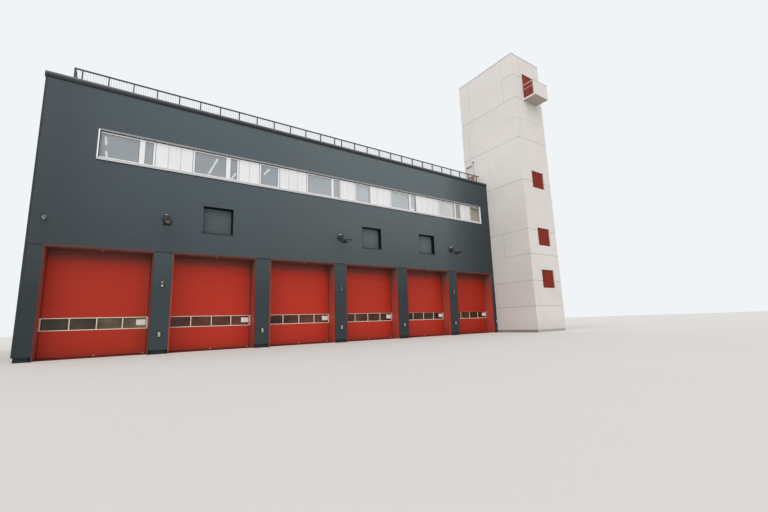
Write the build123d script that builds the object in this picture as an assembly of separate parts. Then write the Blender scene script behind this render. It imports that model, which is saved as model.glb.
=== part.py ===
from build123d import *
import os

# Fire station: a six-bay appliance hall with a storey of offices over it,
# and a hose tower that stands half in front of the hall's right end.
# Millimetres. X runs along the front, Y from the front into the building,
# Z up. The pieces are drawn from the hall's front left corner at ground
# level, and moved to the middle of the hall's footprint when they are saved.

# Hall
HALL_LENGTH = 30300
HALL_DEPTH = 20000
WALL_TOP = 12980
WALL = 400
PLINTH_HEIGHT = 200
PLINTH_SETBACK = 50
FLOOR_RISE = 60
PIER_JOINTS = (1000, 3140, 4200)
PIER_JOINT_WIDTH = 16
PIER_JOINT_DEPTH = 6
STOREY_FLOOR_TOP = 8400
STOREY_FLOOR_THICKNESS = 300
DECK_THICKNESS = 300

# Roof edge
PARAPET_RISE = 500
COPING_HEIGHT = 150
COPING_OVERHANG = 45
COPING_INNER_OVERHANG = 30
COPING_DRIP = 25
COPING_FALL = 8

# Bay doors
BAY_COUNT = 6
FIRST_PIER = 600
PIER_WIDTH = 800
LAST_PIER = 350
OPENING_HEIGHT = 5000
OPENING_DEPTH = 820
LINING = 64
LINING_PROUD = 12
LEAF_THICKNESS = 60
LEAF_LAP = 13
SECTION_HEIGHT = 594
SECTION_COUNT = 8
SECTION_JOINT = 8
SECTION_JOINT_DEPTH = 5
GLAZED_SECTION = 2
GLAZED_FRAME = 45
GLAZED_FRAME_PROUD = 10
PANE_COUNT = 4
PANE_THICKNESS = 24
SILL_NOSE = 10

# Louvres under the window band
LOUVRE_SILL = 6220
LOUVRE_WIDTH = 1550
LOUVRE_HEIGHT = 1480
LOUVRE_BAYS = ".L.LL."
LOUVRE_FRAME = 45
LOUVRE_DEPTH = 110
LOUVRE_RECESS = 290
BLADE_COUNT = 5
BLADE_THICKNESS = 8
BLADE_SLOPE = 60
BLADE_LAP = 20
BLADE_BITE = 5
LOUVRE_SILL_PROUD = 50
LOUVRE_SILL_LAP = 60
LOUVRE_SILL_HEIGHT = 30

# Window band: D is a window with a side light, S a single one, and a
# figure is a run of that many blank panels
BAND_BOTTOM = 9330
BAND_TOP = 10920
BAND_START = 2130
BAND_END = 1086
FRONT_BAND = "D3D2S3D2S3D4D2S"
SIDE_BAND = "D3D2S3D"
WINDOW_MODULES = {"D": 2440, "S": 1250}
BAND_HEAD = 50
BAND_JAMB = 60
BAND_SILL = 120
BAND_PROUD = 30
BAND_SILL_PROUD = 55
BAND_DEPTH = 230
SASH = 80
SASH_SETBACK = 110
SASH_DEPTH = 90
SIDE_LIGHT = 420
SIDE_MULLION = 190
GLASS = 24
PANEL_THICKNESS = 60
PANEL_JOINT = 12
PANEL_SETBACK = 105

# Roof railing
RAIL_SETBACK = 600
RAIL_END_SETBACK = 940
RAIL_HEIGHT = 1100
RAIL_POST = 60
RAIL_POST_PITCH = 1080
RAIL_RUN_BAYS = 13
RAIL_END_BAY = 300
RAIL_TOWER_GAP = 550
RAIL_OVERHANG = 330
RAIL_LINK_BAY = 550
TOP_RAIL = 80
TOP_RAIL_HEIGHT = 50
BOTTOM_RAIL_GAP = 90
BOTTOM_RAIL = 40

# Tower
TOWER_WIDTH = 3830
TOWER_DEPTH = 6240
TOWER_FRONT = -3840
TOWER_TOP = 23960
TOWER_WALL = 200
TOWER_ROOF_THICKNESS = 200
TOWER_ROOF_DROP = 120
TOWER_COPING_HEIGHT = 60
TOWER_COPING_OVERHANG = 25
TOWER_JOINTS = (2030, 4060, 8230, 12450, 16170, 19850)
TOWER_LOW_HALF_JOINT = 6200
TOWER_LOW_HALF_JOINT_REACH = 2440
TOWER_HALF_JOINTS = (18000, 22000)
TOWER_SIDE_JOINT = 1180
TOWER_TOP_STOREY = (19850, 23350)
JOINT_WIDTH = 20
JOINT_DEPTH = 12

# Ribbed panels and balcony door on the tower's front
SHUTTER_LEFT = 1280
SHUTTER_WIDTH = 1650
SHUTTER_HEIGHT = 1480
SHUTTER_SILLS = (3480, 6980, 11950)
SHUTTER_RECESS = 60
RIB_COUNT = 6
RIB_CREST = 0.35
RIB_DEPTH = 35
RIB_SHEET = 12
BALCONY_BELOW_TOP = 3960
BALCONY_SLAB = 150
BALCONY_WIDTH = 1850
BALCONY_PROJECTION = 1160
BALCONY_PARAPET = 1100
BALCONY_PARAPET_THICKNESS = 100
BALCONY_LOW_RAIL = 780
BALCONY_HANDRAIL = 1250
BALCONY_RAIL = 45
BALCONY_DOOR_HEIGHT = 2470

# Door from the tower to the hall's roof
ROOF_DOOR_STEP = 20
ROOF_DOOR_HEIGHT = 1980
ROOF_DOOR_NEAR = 1280
ROOF_DOOR_WIDTH = 800
DOOR_FRAME = 60
DOOR_SETBACK = 60
DOOR_THICKNESS = 60
TOWER_SLAB = 200
LONG_LIGHT = (80, 680, 80)
LONG_LIGHT_RISE = 960
ROUND_LAMP_RADIUS = 90
ROUND_LAMP_DEPTH = 120
ROUND_LAMP_RISE = 1290

# Small pieces on the front
SIGNAL_PIERS = "L.L.L"
SIGNAL_LEVEL = 3400
SIGNAL_SIZE = (110, 40, 300)
SIGNAL_LENS_RADIUS = 48
SIGNAL_LENS_DEPTH = 55
SIGNAL_LENS_GAP = 170
CALL_BOX_LEVEL = 950
CALL_BOX_SIZE = (120, 70, 190)
SENSOR_SIZE = (140, 70, 60)
FLOOD_LEVEL = 6740
FLOOD_DRUM_RADIUS = 180
FLOOD_DRUM_DEPTH = 200
FLOOD_ARM = 45
FLOOD_HEAD_NEAR = 500
FLOOD_HEAD_LENGTH = 820
FLOOD_HEAD_WIDTH = 340
FLOOD_HEAD_HEIGHT = 110
FLOOD_HEAD_DROP = 450
FLOOD_HEAD_RISE = 60
FLOOD_HEAD_EDGE = 45
CAMERA_PLACE = (490, 6220)
CAMERA_RADIUS = 45
CAMERA_LENGTH = 250
CAMERA_REACH = 150
CAMERA_TILT = 29
CAMERA_PLATE = 120
CAMERA_PLATE_DEPTH = 30
CAMERA_ARM = 40

# Worked out from the dimensions above
HALL_TOP = WALL_TOP + COPING_HEIGHT
DECK_TOP = WALL_TOP - PARAPET_RISE
RAIL_TOP = WALL_TOP + RAIL_HEIGHT
ROOF_DOOR_SILL = DECK_TOP + ROOF_DOOR_STEP
ROOF_DOOR_TOP = ROOF_DOOR_SILL + ROOF_DOOR_HEIGHT
BALCONY_FLOOR = TOWER_TOP - BALCONY_BELOW_TOP
TOWER_BACK = TOWER_FRONT + TOWER_DEPTH
TOWER_RIGHT = HALL_LENGTH + TOWER_WIDTH
SHUTTER_START = HALL_LENGTH + SHUTTER_LEFT
SHUTTER_END = SHUTTER_START + SHUTTER_WIDTH
LOUVRE_TOP = LOUVRE_SILL + LOUVRE_HEIGHT
BAND_WINDOWS = sum(WINDOW_MODULES.get(mark, 0) for mark in FRONT_BAND)
BAND_PANELS = sum(int(mark) for mark in FRONT_BAND if mark.isdigit())
PANEL_MODULE = (HALL_LENGTH - BAND_START - BAND_END - BAND_WINDOWS) / BAND_PANELS
BAY_PITCH = (HALL_LENGTH - FIRST_PIER - LAST_PIER + PIER_WIDTH) / BAY_COUNT
OPENING_WIDTH = BAY_PITCH - PIER_WIDTH
LEAF_FRONT = OPENING_DEPTH
LEAF_BOTTOM = FLOOR_RISE
LEAF_TOP = OPENING_HEIGHT - LINING + LEAF_LAP
GLAZED_BOTTOM = LEAF_BOTTOM + GLAZED_SECTION * SECTION_HEIGHT
GLAZED_TOP = GLAZED_BOTTOM + SECTION_HEIGHT
OPENINGS = [
    (FIRST_PIER + bay * BAY_PITCH, FIRST_PIER + bay * BAY_PITCH + OPENING_WIDTH)
    for bay in range(BAY_COUNT)
]
LOUVRE_PLACES = [
    sum(opening) / 2 - LOUVRE_WIDTH / 2
    for opening, mark in zip(OPENINGS, LOUVRE_BAYS)
    if mark == "L"
]
LAMP_PIERS = [pier for pier, mark in enumerate(SIGNAL_PIERS, start=1) if mark == "L"]


def block(x, y, z):
    """A box between a low and a high value along each axis."""
    size = (x[1] - x[0], y[1] - y[0], z[1] - z[0])
    return Pos(x[0], y[0], z[0]) * Box(*size, align=(Align.MIN, Align.MIN, Align.MIN))


def along_x(points, x):
    """A prism along X of an outline given as (y, z) points."""
    return Pos(x[0], 0, 0) * extrude(Plane.YZ * make_face(Polyline(*points, close=True)), x[1] - x[0])


def along_y(points, y):
    """A prism along Y of an outline given as (x, z) points."""
    return Pos(0, y[1], 0) * extrude(Plane.XZ * make_face(Polyline(*points, close=True)), y[1] - y[0])


def along_z(points, z):
    """A prism along Z of an outline given as (x, y) points."""
    return Pos(0, 0, z[0]) * extrude(Plane.XY * make_face(Polyline(*points, close=True)), z[1] - z[0])


def save(node, *solids):
    """Write one node, moved to the middle of the hall's footprint."""
    shift = Pos(-HALL_LENGTH / 2, -HALL_DEPTH / 2, 0)
    moved = [shift * solid for piece in solids for solid in piece.solids()]
    shape = moved[0] if len(moved) == 1 else Compound(moved)
    export_step(shape, f"parts/{node}.step")


# Ground floor and foot of the walls

def pier_spans():
    """Low and high X of the seven piers between and beside the openings."""
    edges = [0] + [edge for opening in OPENINGS for edge in opening] + [HALL_LENGTH]
    return list(zip(edges[0::2], edges[1::2]))


def front_plinth():
    """A recessed foot under each pier, and the strip under the rear wall."""
    feet = []
    for low, high in pier_spans():
        x = (low + PLINTH_SETBACK, high - PLINTH_SETBACK)
        feet.append(block(x, (PLINTH_SETBACK, OPENING_DEPTH), (0, PLINTH_HEIGHT)))
    rear = (HALL_DEPTH - WALL, HALL_DEPTH - PLINTH_SETBACK)
    x = (PLINTH_SETBACK, HALL_LENGTH - PLINTH_SETBACK)
    return feet + [block(x, rear, (0, PLINTH_HEIGHT))]


def side_plinth():
    """The strips under the left and right walls."""
    y = (OPENING_DEPTH, HALL_DEPTH - WALL)
    z = (0, PLINTH_HEIGHT)
    left = block((PLINTH_SETBACK, WALL), y, z)
    right = block((HALL_LENGTH - WALL, HALL_LENGTH - PLINTH_SETBACK), y, z)
    return left, right


def floor_slab():
    """The hall's ground floor, from the backs of the doors to the rear wall."""
    x = (WALL, HALL_LENGTH - WALL)
    return block(x, (OPENING_DEPTH, HALL_DEPTH - WALL), (0, FLOOR_RISE))


def door_sill(opening):
    """A sloping threshold that rises to the floor."""
    outline = (
        (0, 0),
        (OPENING_DEPTH, 0),
        (OPENING_DEPTH, FLOOR_RISE),
        (0, SILL_NOSE),
    )
    return along_x(outline, opening)


# Walls of the hall

def front_piers():
    """Seven deep piers between and beside the openings, grooved at the joints."""
    outline = [(OPENING_DEPTH, PLINTH_HEIGHT), (0, PLINTH_HEIGHT)]
    for level in PIER_JOINTS:
        outline += [
            (0, level - PIER_JOINT_WIDTH / 2),
            (PIER_JOINT_DEPTH, level),
            (0, level + PIER_JOINT_WIDTH / 2),
        ]
    outline += [(0, OPENING_HEIGHT), (OPENING_DEPTH, OPENING_HEIGHT)]
    return [along_x(outline, span) for span in pier_spans()]


def front_wall_over_doors():
    """The deep course over the openings, up to the louvres' sills."""
    return block((0, HALL_LENGTH), (0, OPENING_DEPTH), (OPENING_HEIGHT, LOUVRE_SILL))


def front_wall_beside_louvres():
    """The four stretches of wall beside the three louvres."""
    edges = [0]
    for place in LOUVRE_PLACES:
        edges += [place, place + LOUVRE_WIDTH]
    edges.append(HALL_LENGTH)
    z = (LOUVRE_SILL, LOUVRE_TOP)
    return [block(span, (0, WALL), z) for span in zip(edges[0::2], edges[1::2])]


def front_wall_under_windows():
    """The course between the louvres and the window band."""
    return block((0, HALL_LENGTH), (0, WALL), (LOUVRE_TOP, BAND_BOTTOM))


def front_wall_over_windows():
    """The course over the window band."""
    return block((0, HALL_LENGTH), (0, WALL), (BAND_TOP, WALL_TOP))


def side_walls(z):
    """Left and right wall between two levels."""
    y = (WALL, HALL_DEPTH - WALL)
    left = block((0, WALL), y, z)
    right = block((HALL_LENGTH - WALL, HALL_LENGTH), y, z)
    return left, right


def side_walls_lower():
    """The side walls up to the window band, notched for the deep front."""
    z = (PLINTH_HEIGHT, BAND_BOTTOM)
    deep_front = block((0, HALL_LENGTH), (0, OPENING_DEPTH), (0, LOUVRE_SILL))
    return [wall - deep_front for wall in side_walls(z)]


def side_walls_upper():
    """The side walls over the windows; the right one is cut at the roof door."""
    left, right = side_walls((BAND_TOP, WALL_TOP))
    y = (ROOF_DOOR_NEAR, ROOF_DOOR_NEAR + ROOF_DOOR_WIDTH)
    passage = block((HALL_LENGTH - WALL, HALL_LENGTH), y, (DECK_TOP, WALL_TOP))
    return left, right - passage


def rear_wall(z):
    """The rear wall between two levels."""
    return block((0, HALL_LENGTH), (HALL_DEPTH - WALL, HALL_DEPTH), z)


def corner_piers():
    """The corners of the wall at the height of the windows, each an angle."""
    side_start = (HALL_DEPTH - band_length(SIDE_BAND)) / 2
    band_end = BAND_START + band_length(FRONT_BAND)
    corners = []
    for x_out, x_in, sign in ((0, BAND_START, 1), (HALL_LENGTH, band_end, -1)):
        for y_out, y_in, turn in ((0, side_start, 1), (HALL_DEPTH, HALL_DEPTH - side_start, -1)):
            outline = (
                (x_out, y_out),
                (x_in, y_out),
                (x_in, y_out + turn * WALL),
                (x_out + sign * WALL, y_out + turn * WALL),
                (x_out + sign * WALL, y_in),
                (x_out, y_in),
            )
            corners.append(along_z(outline, (BAND_BOTTOM, BAND_TOP)))
    return corners


def upper_floor():
    """The floor of the storey that the window band lights."""
    x = (WALL, HALL_LENGTH - WALL)
    y = (WALL, HALL_DEPTH - WALL)
    return block(x, y, (STOREY_FLOOR_TOP - STOREY_FLOOR_THICKNESS, STOREY_FLOOR_TOP))


def roof_deck():
    """The flat roof between the walls."""
    x = (WALL, HALL_LENGTH - WALL)
    y = (WALL, HALL_DEPTH - WALL)
    return block(x, y, (DECK_TOP - DECK_THICKNESS, DECK_TOP))


# Coping

def coping_strips():
    """A folded coping on the four walls, with mitred corners and a drip."""
    low = -COPING_OVERHANG
    high = WALL + COPING_INNER_OVERHANG
    section = (
        (low, WALL_TOP - COPING_DRIP),
        (0, WALL_TOP - COPING_DRIP),
        (0, WALL_TOP),
        (high, WALL_TOP),
        (high, HALL_TOP - COPING_FALL),
        (low, HALL_TOP),
    )
    front = along_x(section, (low, HALL_LENGTH - low))
    middle = (HALL_LENGTH / 2, HALL_DEPTH / 2)
    half_turn = Pos(*middle) * Rot(0, 0, 180) * Pos(-middle[0], -middle[1])
    side = along_x(section, (-HALL_DEPTH + low, -low))
    left = Rot(0, 0, -90) * side
    mitre = along_z(
        ((low, low), (HALL_LENGTH - low, low), (HALL_LENGTH / 2, HALL_LENGTH / 2 + low)),
        (0, HALL_TOP + WALL),
    )
    mitred = front & mitre
    side_mitre = along_z(
        ((low, low), (low, HALL_DEPTH - low), (HALL_DEPTH / 2 + low, HALL_DEPTH / 2)),
        (0, HALL_TOP + WALL),
    )
    left = left & side_mitre
    tower = block((HALL_LENGTH, TOWER_RIGHT), (TOWER_FRONT, TOWER_BACK), (0, TOWER_TOP))
    landing = block((HALL_LENGTH - high, HALL_LENGTH - low), (low, TOWER_BACK), (0, TOWER_TOP))
    straight_end = along_x(section, (HALL_LENGTH - high, HALL_LENGTH))
    long_strips = [mitred + straight_end - tower, half_turn * mitred]
    short_strips = [left, half_turn * left - landing]
    return long_strips, short_strips


# Window band

def band_layout(pattern):
    """Kind, start and end of each window and blank panel in a band."""
    places = []
    place = 0
    for mark in pattern:
        if mark in WINDOW_MODULES:
            places.append((mark, place, place + WINDOW_MODULES[mark]))
            place += WINDOW_MODULES[mark]
            continue
        for _ in range(int(mark)):
            places.append(("panel", place, place + PANEL_MODULE))
            place += PANEL_MODULE
    return places


def band_length(pattern):
    """Length of a band's row of windows and panels."""
    return band_layout(pattern)[-1][2]


def lights(kind, start, end):
    """The glazed spans of one window: a main light and maybe a side light."""
    if kind == "S":
        return [(start + SASH, end - SASH)]
    side_start = end - SASH - SIDE_LIGHT
    return [(start + SASH, side_start - SIDE_MULLION), (side_start, end - SASH)]


def band_opening():
    """Low and high level of the clear height inside a band's surround."""
    return BAND_BOTTOM + BAND_SILL, BAND_TOP - BAND_HEAD


def window_frame(pattern):
    """The white surround of a band, its sill and the frames of its windows."""
    length = band_length(pattern)
    depth = (-BAND_PROUD, BAND_DEPTH - BAND_PROUD)
    inner = band_opening()
    surround = block((0, length), depth, (BAND_BOTTOM, BAND_TOP))
    surround -= block((BAND_JAMB, length - BAND_JAMB), depth, inner)
    surround += block((0, length), (-BAND_SILL_PROUD, 0), (BAND_BOTTOM, inner[0]))
    sash_depth = (SASH_SETBACK, SASH_SETBACK + SASH_DEPTH)
    glass_height = (inner[0] + SASH, inner[1] - SASH)
    for kind, start, end in band_layout(pattern):
        if kind == "panel":
            continue
        sash = block((start, end), sash_depth, inner)
        for light in lights(kind, start, end):
            sash -= block(light, sash_depth, glass_height)
        surround += sash
    return surround


def window_panels(pattern):
    """The blank panels between a band's windows, with open joints."""
    depth = (PANEL_SETBACK, PANEL_SETBACK + PANEL_THICKNESS)
    gap = PANEL_JOINT / 2
    return [
        block((start + gap, end - gap), depth, band_opening())
        for kind, start, end in band_layout(pattern)
        if kind == "panel"
    ]


def window_glass(pattern):
    """One pane for each light of a band."""
    middle = SASH_SETBACK + SASH_DEPTH / 2
    depth = (middle - GLASS / 2, middle + GLASS / 2)
    low, high = band_opening()
    return [
        block(light, depth, (low + SASH, high - SASH))
        for kind, start, end in band_layout(pattern)
        if kind != "panel"
        for light in lights(kind, start, end)
    ]


def on_every_wall(make):
    """Make a band's pieces on the front, the rear and both sides."""
    side_start = (HALL_DEPTH - band_length(SIDE_BAND)) / 2
    band_end = BAND_START + band_length(FRONT_BAND)
    places = (
        (Pos(BAND_START, 0, 0), FRONT_BAND),
        (Pos(band_end, HALL_DEPTH, 0) * Rot(0, 0, 180), FRONT_BAND),
        (Pos(0, HALL_DEPTH - side_start, 0) * Rot(0, 0, -90), SIDE_BAND),
        (Pos(HALL_LENGTH, side_start, 0) * Rot(0, 0, 90), SIDE_BAND),
    )
    pieces = []
    for place, pattern in places:
        made = make(pattern)
        made = made if isinstance(made, list) else [made]
        pieces += [place * piece for piece in made]
    return pieces


# Louvres

def louvre(place):
    """A framed louvre of broad blades deep in the wall, on a thin lapped sill."""
    x = (place, place + LOUVRE_WIDTH)
    y = (LOUVRE_RECESS, LOUVRE_RECESS + LOUVRE_DEPTH)
    unit = block(x, y, (LOUVRE_SILL, LOUVRE_TOP))
    inner_x = (x[0] + LOUVRE_FRAME, x[1] - LOUVRE_FRAME)
    inner_z = (LOUVRE_SILL + LOUVRE_FRAME, LOUVRE_TOP - LOUVRE_FRAME)
    unit -= block(inner_x, y, inner_z)
    pitch = (inner_z[1] - inner_z[0]) / BLADE_COUNT
    for blade in range(BLADE_COUNT):
        foot = inner_z[0] + blade * pitch - BLADE_BITE
        head = foot + pitch + BLADE_LAP
        outline = (
            (y[0], foot),
            (y[0] + BLADE_THICKNESS, foot),
            (y[0] + BLADE_THICKNESS + BLADE_SLOPE, head),
            (y[0] + BLADE_SLOPE, head),
        )
        unit += along_x(outline, inner_x)
    sill_z = (LOUVRE_SILL, LOUVRE_SILL + LOUVRE_SILL_HEIGHT)
    sill = block(x, (0, LOUVRE_RECESS), sill_z)
    nose_x = (x[0] - LOUVRE_SILL_LAP, x[1] + LOUVRE_SILL_LAP)
    return unit + sill + block(nose_x, (-LOUVRE_SILL_PROUD, 0), sill_z)


# Bay doors

def clear_span(opening):
    """The width left between an opening's linings."""
    return (opening[0] + LINING, opening[1] - LINING)


def door_lining(opening):
    """The red reveal on both sides and over an opening, as one channel."""
    low, high = opening
    clear = clear_span(opening)
    head = OPENING_HEIGHT - LINING
    outline = (
        (low, 0),
        (clear[0], 0),
        (clear[0], head),
        (clear[1], head),
        (clear[1], 0),
        (high, 0),
        (high, OPENING_HEIGHT),
        (low, OPENING_HEIGHT),
    )
    channel = along_y(outline, (-LINING_PROUD, OPENING_DEPTH))
    return channel - door_sill(opening)


def leaf_outline():
    """Side view of a leaf: sections with a groove at every joint."""
    front = LEAF_FRONT
    back = LEAF_FRONT + LEAF_THICKNESS
    points = [(back, LEAF_BOTTOM), (front, LEAF_BOTTOM)]
    for joint in range(1, SECTION_COUNT):
        level = LEAF_BOTTOM + joint * SECTION_HEIGHT
        points += [
            (front, level - SECTION_JOINT / 2),
            (front + SECTION_JOINT_DEPTH, level),
            (front, level + SECTION_JOINT / 2),
        ]
    return points + [(front, LEAF_TOP), (back, LEAF_TOP)]


def bay_door(opening):
    """A sectional leaf, lapped behind its linings, open at the glazed section."""
    clear = clear_span(opening)
    leaf = along_x(leaf_outline(), (clear[0] - LEAF_LAP, clear[1] + LEAF_LAP))
    y = (LEAF_FRONT, LEAF_FRONT + LEAF_THICKNESS)
    return leaf - block(clear, y, (GLAZED_BOTTOM, GLAZED_TOP))


def pane_spans(opening):
    """The spans of the panes in a leaf's glazed section."""
    clear = clear_span(opening)
    pitch = (clear[1] - clear[0] - GLAZED_FRAME) / PANE_COUNT
    starts = [clear[0] + GLAZED_FRAME + pane * pitch for pane in range(PANE_COUNT)]
    return [(start, start + pitch - GLAZED_FRAME) for start in starts]


def door_window_frame(opening):
    """The cream frame of a leaf's glazed section."""
    y = (LEAF_FRONT - GLAZED_FRAME_PROUD, LEAF_FRONT + LEAF_THICKNESS)
    frame = block(clear_span(opening), y, (GLAZED_BOTTOM, GLAZED_TOP))
    z = (GLAZED_BOTTOM + GLAZED_FRAME, GLAZED_TOP - GLAZED_FRAME)
    for span in pane_spans(opening):
        frame -= block(span, y, z)
    return frame


def door_window_glass(opening):
    """The panes of a leaf's glazed section."""
    middle = LEAF_FRONT + LEAF_THICKNESS / 2
    y = (middle - PANE_THICKNESS / 2, middle + PANE_THICKNESS / 2)
    z = (GLAZED_BOTTOM + GLAZED_FRAME, GLAZED_TOP - GLAZED_FRAME)
    return [block(span, y, z) for span in pane_spans(opening)]


# Roof railing

def railing(posts, overhang=0):
    """A straight run of railing along X; its top rail may end past the last post."""
    half = RAIL_POST / 2
    under = RAIL_TOP - TOP_RAIL_HEIGHT
    start, end = posts[0], posts[-1]
    top_y = (-TOP_RAIL / 2, TOP_RAIL / 2)
    run = block((start - half, end + half + overhang), top_y, (under, RAIL_TOP))
    foot = WALL_TOP + BOTTOM_RAIL_GAP
    bottom_y = (-BOTTOM_RAIL / 2, BOTTOM_RAIL / 2)
    run += block((start, end), bottom_y, (foot, foot + BOTTOM_RAIL))
    for x in posts:
        run += block((x - half, x + half), (-half, half), (DECK_TOP, under))
    return run


def even_posts(start, end, bays=None):
    """Places of posts an even distance apart, near the railing's usual pitch."""
    bays = bays or round((end - start) / RAIL_POST_PITCH)
    return [start + post * (end - start) / bays for post in range(bays + 1)]


def long_run_posts(start, end):
    """A short end bay, a run of bays, a short link bay and as many bays again."""
    first = start + RAIL_END_BAY
    link = first + RAIL_RUN_BAYS * RAIL_POST_PITCH
    left_run = even_posts(first, link, RAIL_RUN_BAYS)
    return [start] + left_run + even_posts(link + RAIL_LINK_BAY, end, RAIL_RUN_BAYS)


def roof_railings():
    """Front, rear and side runs; the side runs stop short of the long ones."""
    left = RAIL_END_SETBACK
    front_end = HALL_LENGTH - RAIL_TOWER_GAP
    right = HALL_LENGTH - RAIL_END_SETBACK
    rear_y = HALL_DEPTH - RAIL_SETBACK
    front_posts = long_run_posts(left, front_end)
    front = Pos(0, RAIL_SETBACK, 0) * railing(front_posts, RAIL_OVERHANG)
    rear = Pos(0, rear_y, 0) * railing(long_run_posts(left, right))
    far = rear_y - TOP_RAIL
    sides = []
    for x, near in ((left, RAIL_SETBACK + TOP_RAIL), (right, TOWER_BACK + RAIL_SETBACK)):
        sides.append(Pos(x, 0, 0) * Rot(0, 0, 90) * railing(even_posts(near, far)))
    return front, rear, sides


# Tower

def tower_joints():
    """Slots that score the panel joints into the tower's faces."""
    x = (HALL_LENGTH, TOWER_RIGHT)
    y = (TOWER_FRONT, TOWER_BACK)
    outer = block(x, y, (0, TOWER_TOP))
    inner = block(
        (x[0] + JOINT_DEPTH, x[1] - JOINT_DEPTH),
        (y[0] + JOINT_DEPTH, y[1] - JOINT_DEPTH),
        (0, TOWER_TOP),
    )
    skin = outer - inner
    half = JOINT_WIDTH / 2
    slots = []
    for level in TOWER_JOINTS:
        slots.append(skin & block(x, y, (level - half, level + half)))
    near = TOWER_FRONT + TOWER_SIDE_JOINT
    rear = TOWER_BACK - TOWER_SIDE_JOINT
    low_near = TOWER_FRONT + TOWER_LOW_HALF_JOINT_REACH
    ends = [(level, near) for level in TOWER_HALF_JOINTS] + [(TOWER_LOW_HALF_JOINT, low_near)]
    for level, end in ends:
        slots.append(skin & block(x, (TOWER_FRONT, end), (level - half, level + half)))
    low_storey = (TOWER_LOW_HALF_JOINT, TOWER_JOINTS[2])
    uprights = ((near, TOWER_TOP_STOREY), (rear, TOWER_TOP_STOREY), (low_near, low_storey))
    for place, storey in uprights:
        slots.append(skin & block(x, (place - half, place + half), storey))
    return slots


def tower_openings():
    """The holes for the ribbed panels and the two doors."""
    x = (SHUTTER_START, SHUTTER_END)
    y = (TOWER_FRONT, TOWER_FRONT + TOWER_WALL)
    holes = [block(x, y, (sill, sill + SHUTTER_HEIGHT)) for sill in SHUTTER_SILLS]
    holes.append(block(x, y, (BALCONY_FLOOR, BALCONY_FLOOR + BALCONY_DOOR_HEIGHT)))
    holes.append(
        block(
            (HALL_LENGTH, HALL_LENGTH + TOWER_WALL),
            (ROOF_DOOR_NEAR, ROOF_DOOR_NEAR + ROOF_DOOR_WIDTH),
            (ROOF_DOOR_SILL, ROOF_DOOR_TOP),
        )
    )
    return holes


def tower_walls():
    """Front, left, right and rear wall, scored with joints and pierced."""
    z = (PLINTH_HEIGHT, TOWER_TOP)
    x = (HALL_LENGTH, TOWER_RIGHT)
    inner_y = (TOWER_FRONT + TOWER_WALL, TOWER_BACK - TOWER_WALL)
    walls = [
        block(x, (TOWER_FRONT, inner_y[0]), z),
        block((x[0], x[0] + TOWER_WALL), inner_y, z),
        block((x[1] - TOWER_WALL, x[1]), inner_y, z),
        block(x, (inner_y[1], TOWER_BACK), z),
    ]
    cuts = tower_joints() + tower_openings()
    return [wall - cuts for wall in walls]


def tower_inside(z):
    """A slab between the tower's walls."""
    x = (HALL_LENGTH + TOWER_WALL, TOWER_RIGHT - TOWER_WALL)
    y = (TOWER_FRONT + TOWER_WALL, TOWER_BACK - TOWER_WALL)
    return block(x, y, z)


def tower_base():
    """The recessed foot of the tower and its ground floor in one slab."""
    x = (HALL_LENGTH + PLINTH_SETBACK, TOWER_RIGHT - PLINTH_SETBACK)
    y = (TOWER_FRONT + PLINTH_SETBACK, TOWER_BACK - PLINTH_SETBACK)
    return block(x, y, (0, PLINTH_HEIGHT))


def tower_floors():
    """Landings behind the roof door and the balcony door."""
    tops = (ROOF_DOOR_SILL, BALCONY_FLOOR)
    return [tower_inside((top - TOWER_SLAB, top)) for top in tops]


def tower_roof():
    """The roof slab, a little below the tops of the walls."""
    top = TOWER_TOP - TOWER_ROOF_DROP
    return tower_inside((top - TOWER_ROOF_THICKNESS, top))


def tower_coping():
    """A thin metal cap round the tops of the walls."""
    low = (HALL_LENGTH - TOWER_COPING_OVERHANG, TOWER_FRONT - TOWER_COPING_OVERHANG)
    high = (TOWER_RIGHT + TOWER_COPING_OVERHANG, TOWER_BACK + TOWER_COPING_OVERHANG)
    z = (TOWER_TOP, TOWER_TOP + TOWER_COPING_HEIGHT)
    ring = block((low[0], high[0]), (low[1], high[1]), z)
    return ring - tower_inside(z)


def ribbed_panel(sill, height):
    """A folded sheet with upright ribs that closes an opening."""
    pitch = SHUTTER_WIDTH / RIB_COUNT
    crest = pitch * RIB_CREST
    front = []
    y = TOWER_FRONT + SHUTTER_RECESS
    for rib in range(RIB_COUNT):
        start = SHUTTER_START + rib * pitch
        front += [
            (start, y + RIB_DEPTH),
            (start + crest, y + RIB_DEPTH),
            (start + pitch / 2, y),
            (start + pitch / 2 + crest, y),
        ]
    front.append((SHUTTER_END, y + RIB_DEPTH))
    back = y + RIB_DEPTH + RIB_SHEET
    outline = front + [(SHUTTER_END, back), (SHUTTER_START, back)]
    return along_z(outline, (sill, sill + height))


def tower_shutters():
    """The three ribbed panels in the tower's front."""
    return [ribbed_panel(sill, SHUTTER_HEIGHT) for sill in SHUTTER_SILLS]


def balcony():
    """A slab and a solid parapet across its front, open at both ends."""
    middle = (SHUTTER_START + SHUTTER_END) / 2
    x = (middle - BALCONY_WIDTH / 2, middle + BALCONY_WIDTH / 2)
    tip = TOWER_FRONT - BALCONY_PROJECTION
    outline = (
        (TOWER_FRONT, BALCONY_FLOOR - BALCONY_SLAB),
        (TOWER_FRONT, BALCONY_FLOOR),
        (tip + BALCONY_PARAPET_THICKNESS, BALCONY_FLOOR),
        (tip + BALCONY_PARAPET_THICKNESS, BALCONY_FLOOR + BALCONY_PARAPET),
        (tip, BALCONY_FLOOR + BALCONY_PARAPET),
        (tip, BALCONY_FLOOR - BALCONY_SLAB),
    )
    return along_x(outline, x)


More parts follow.
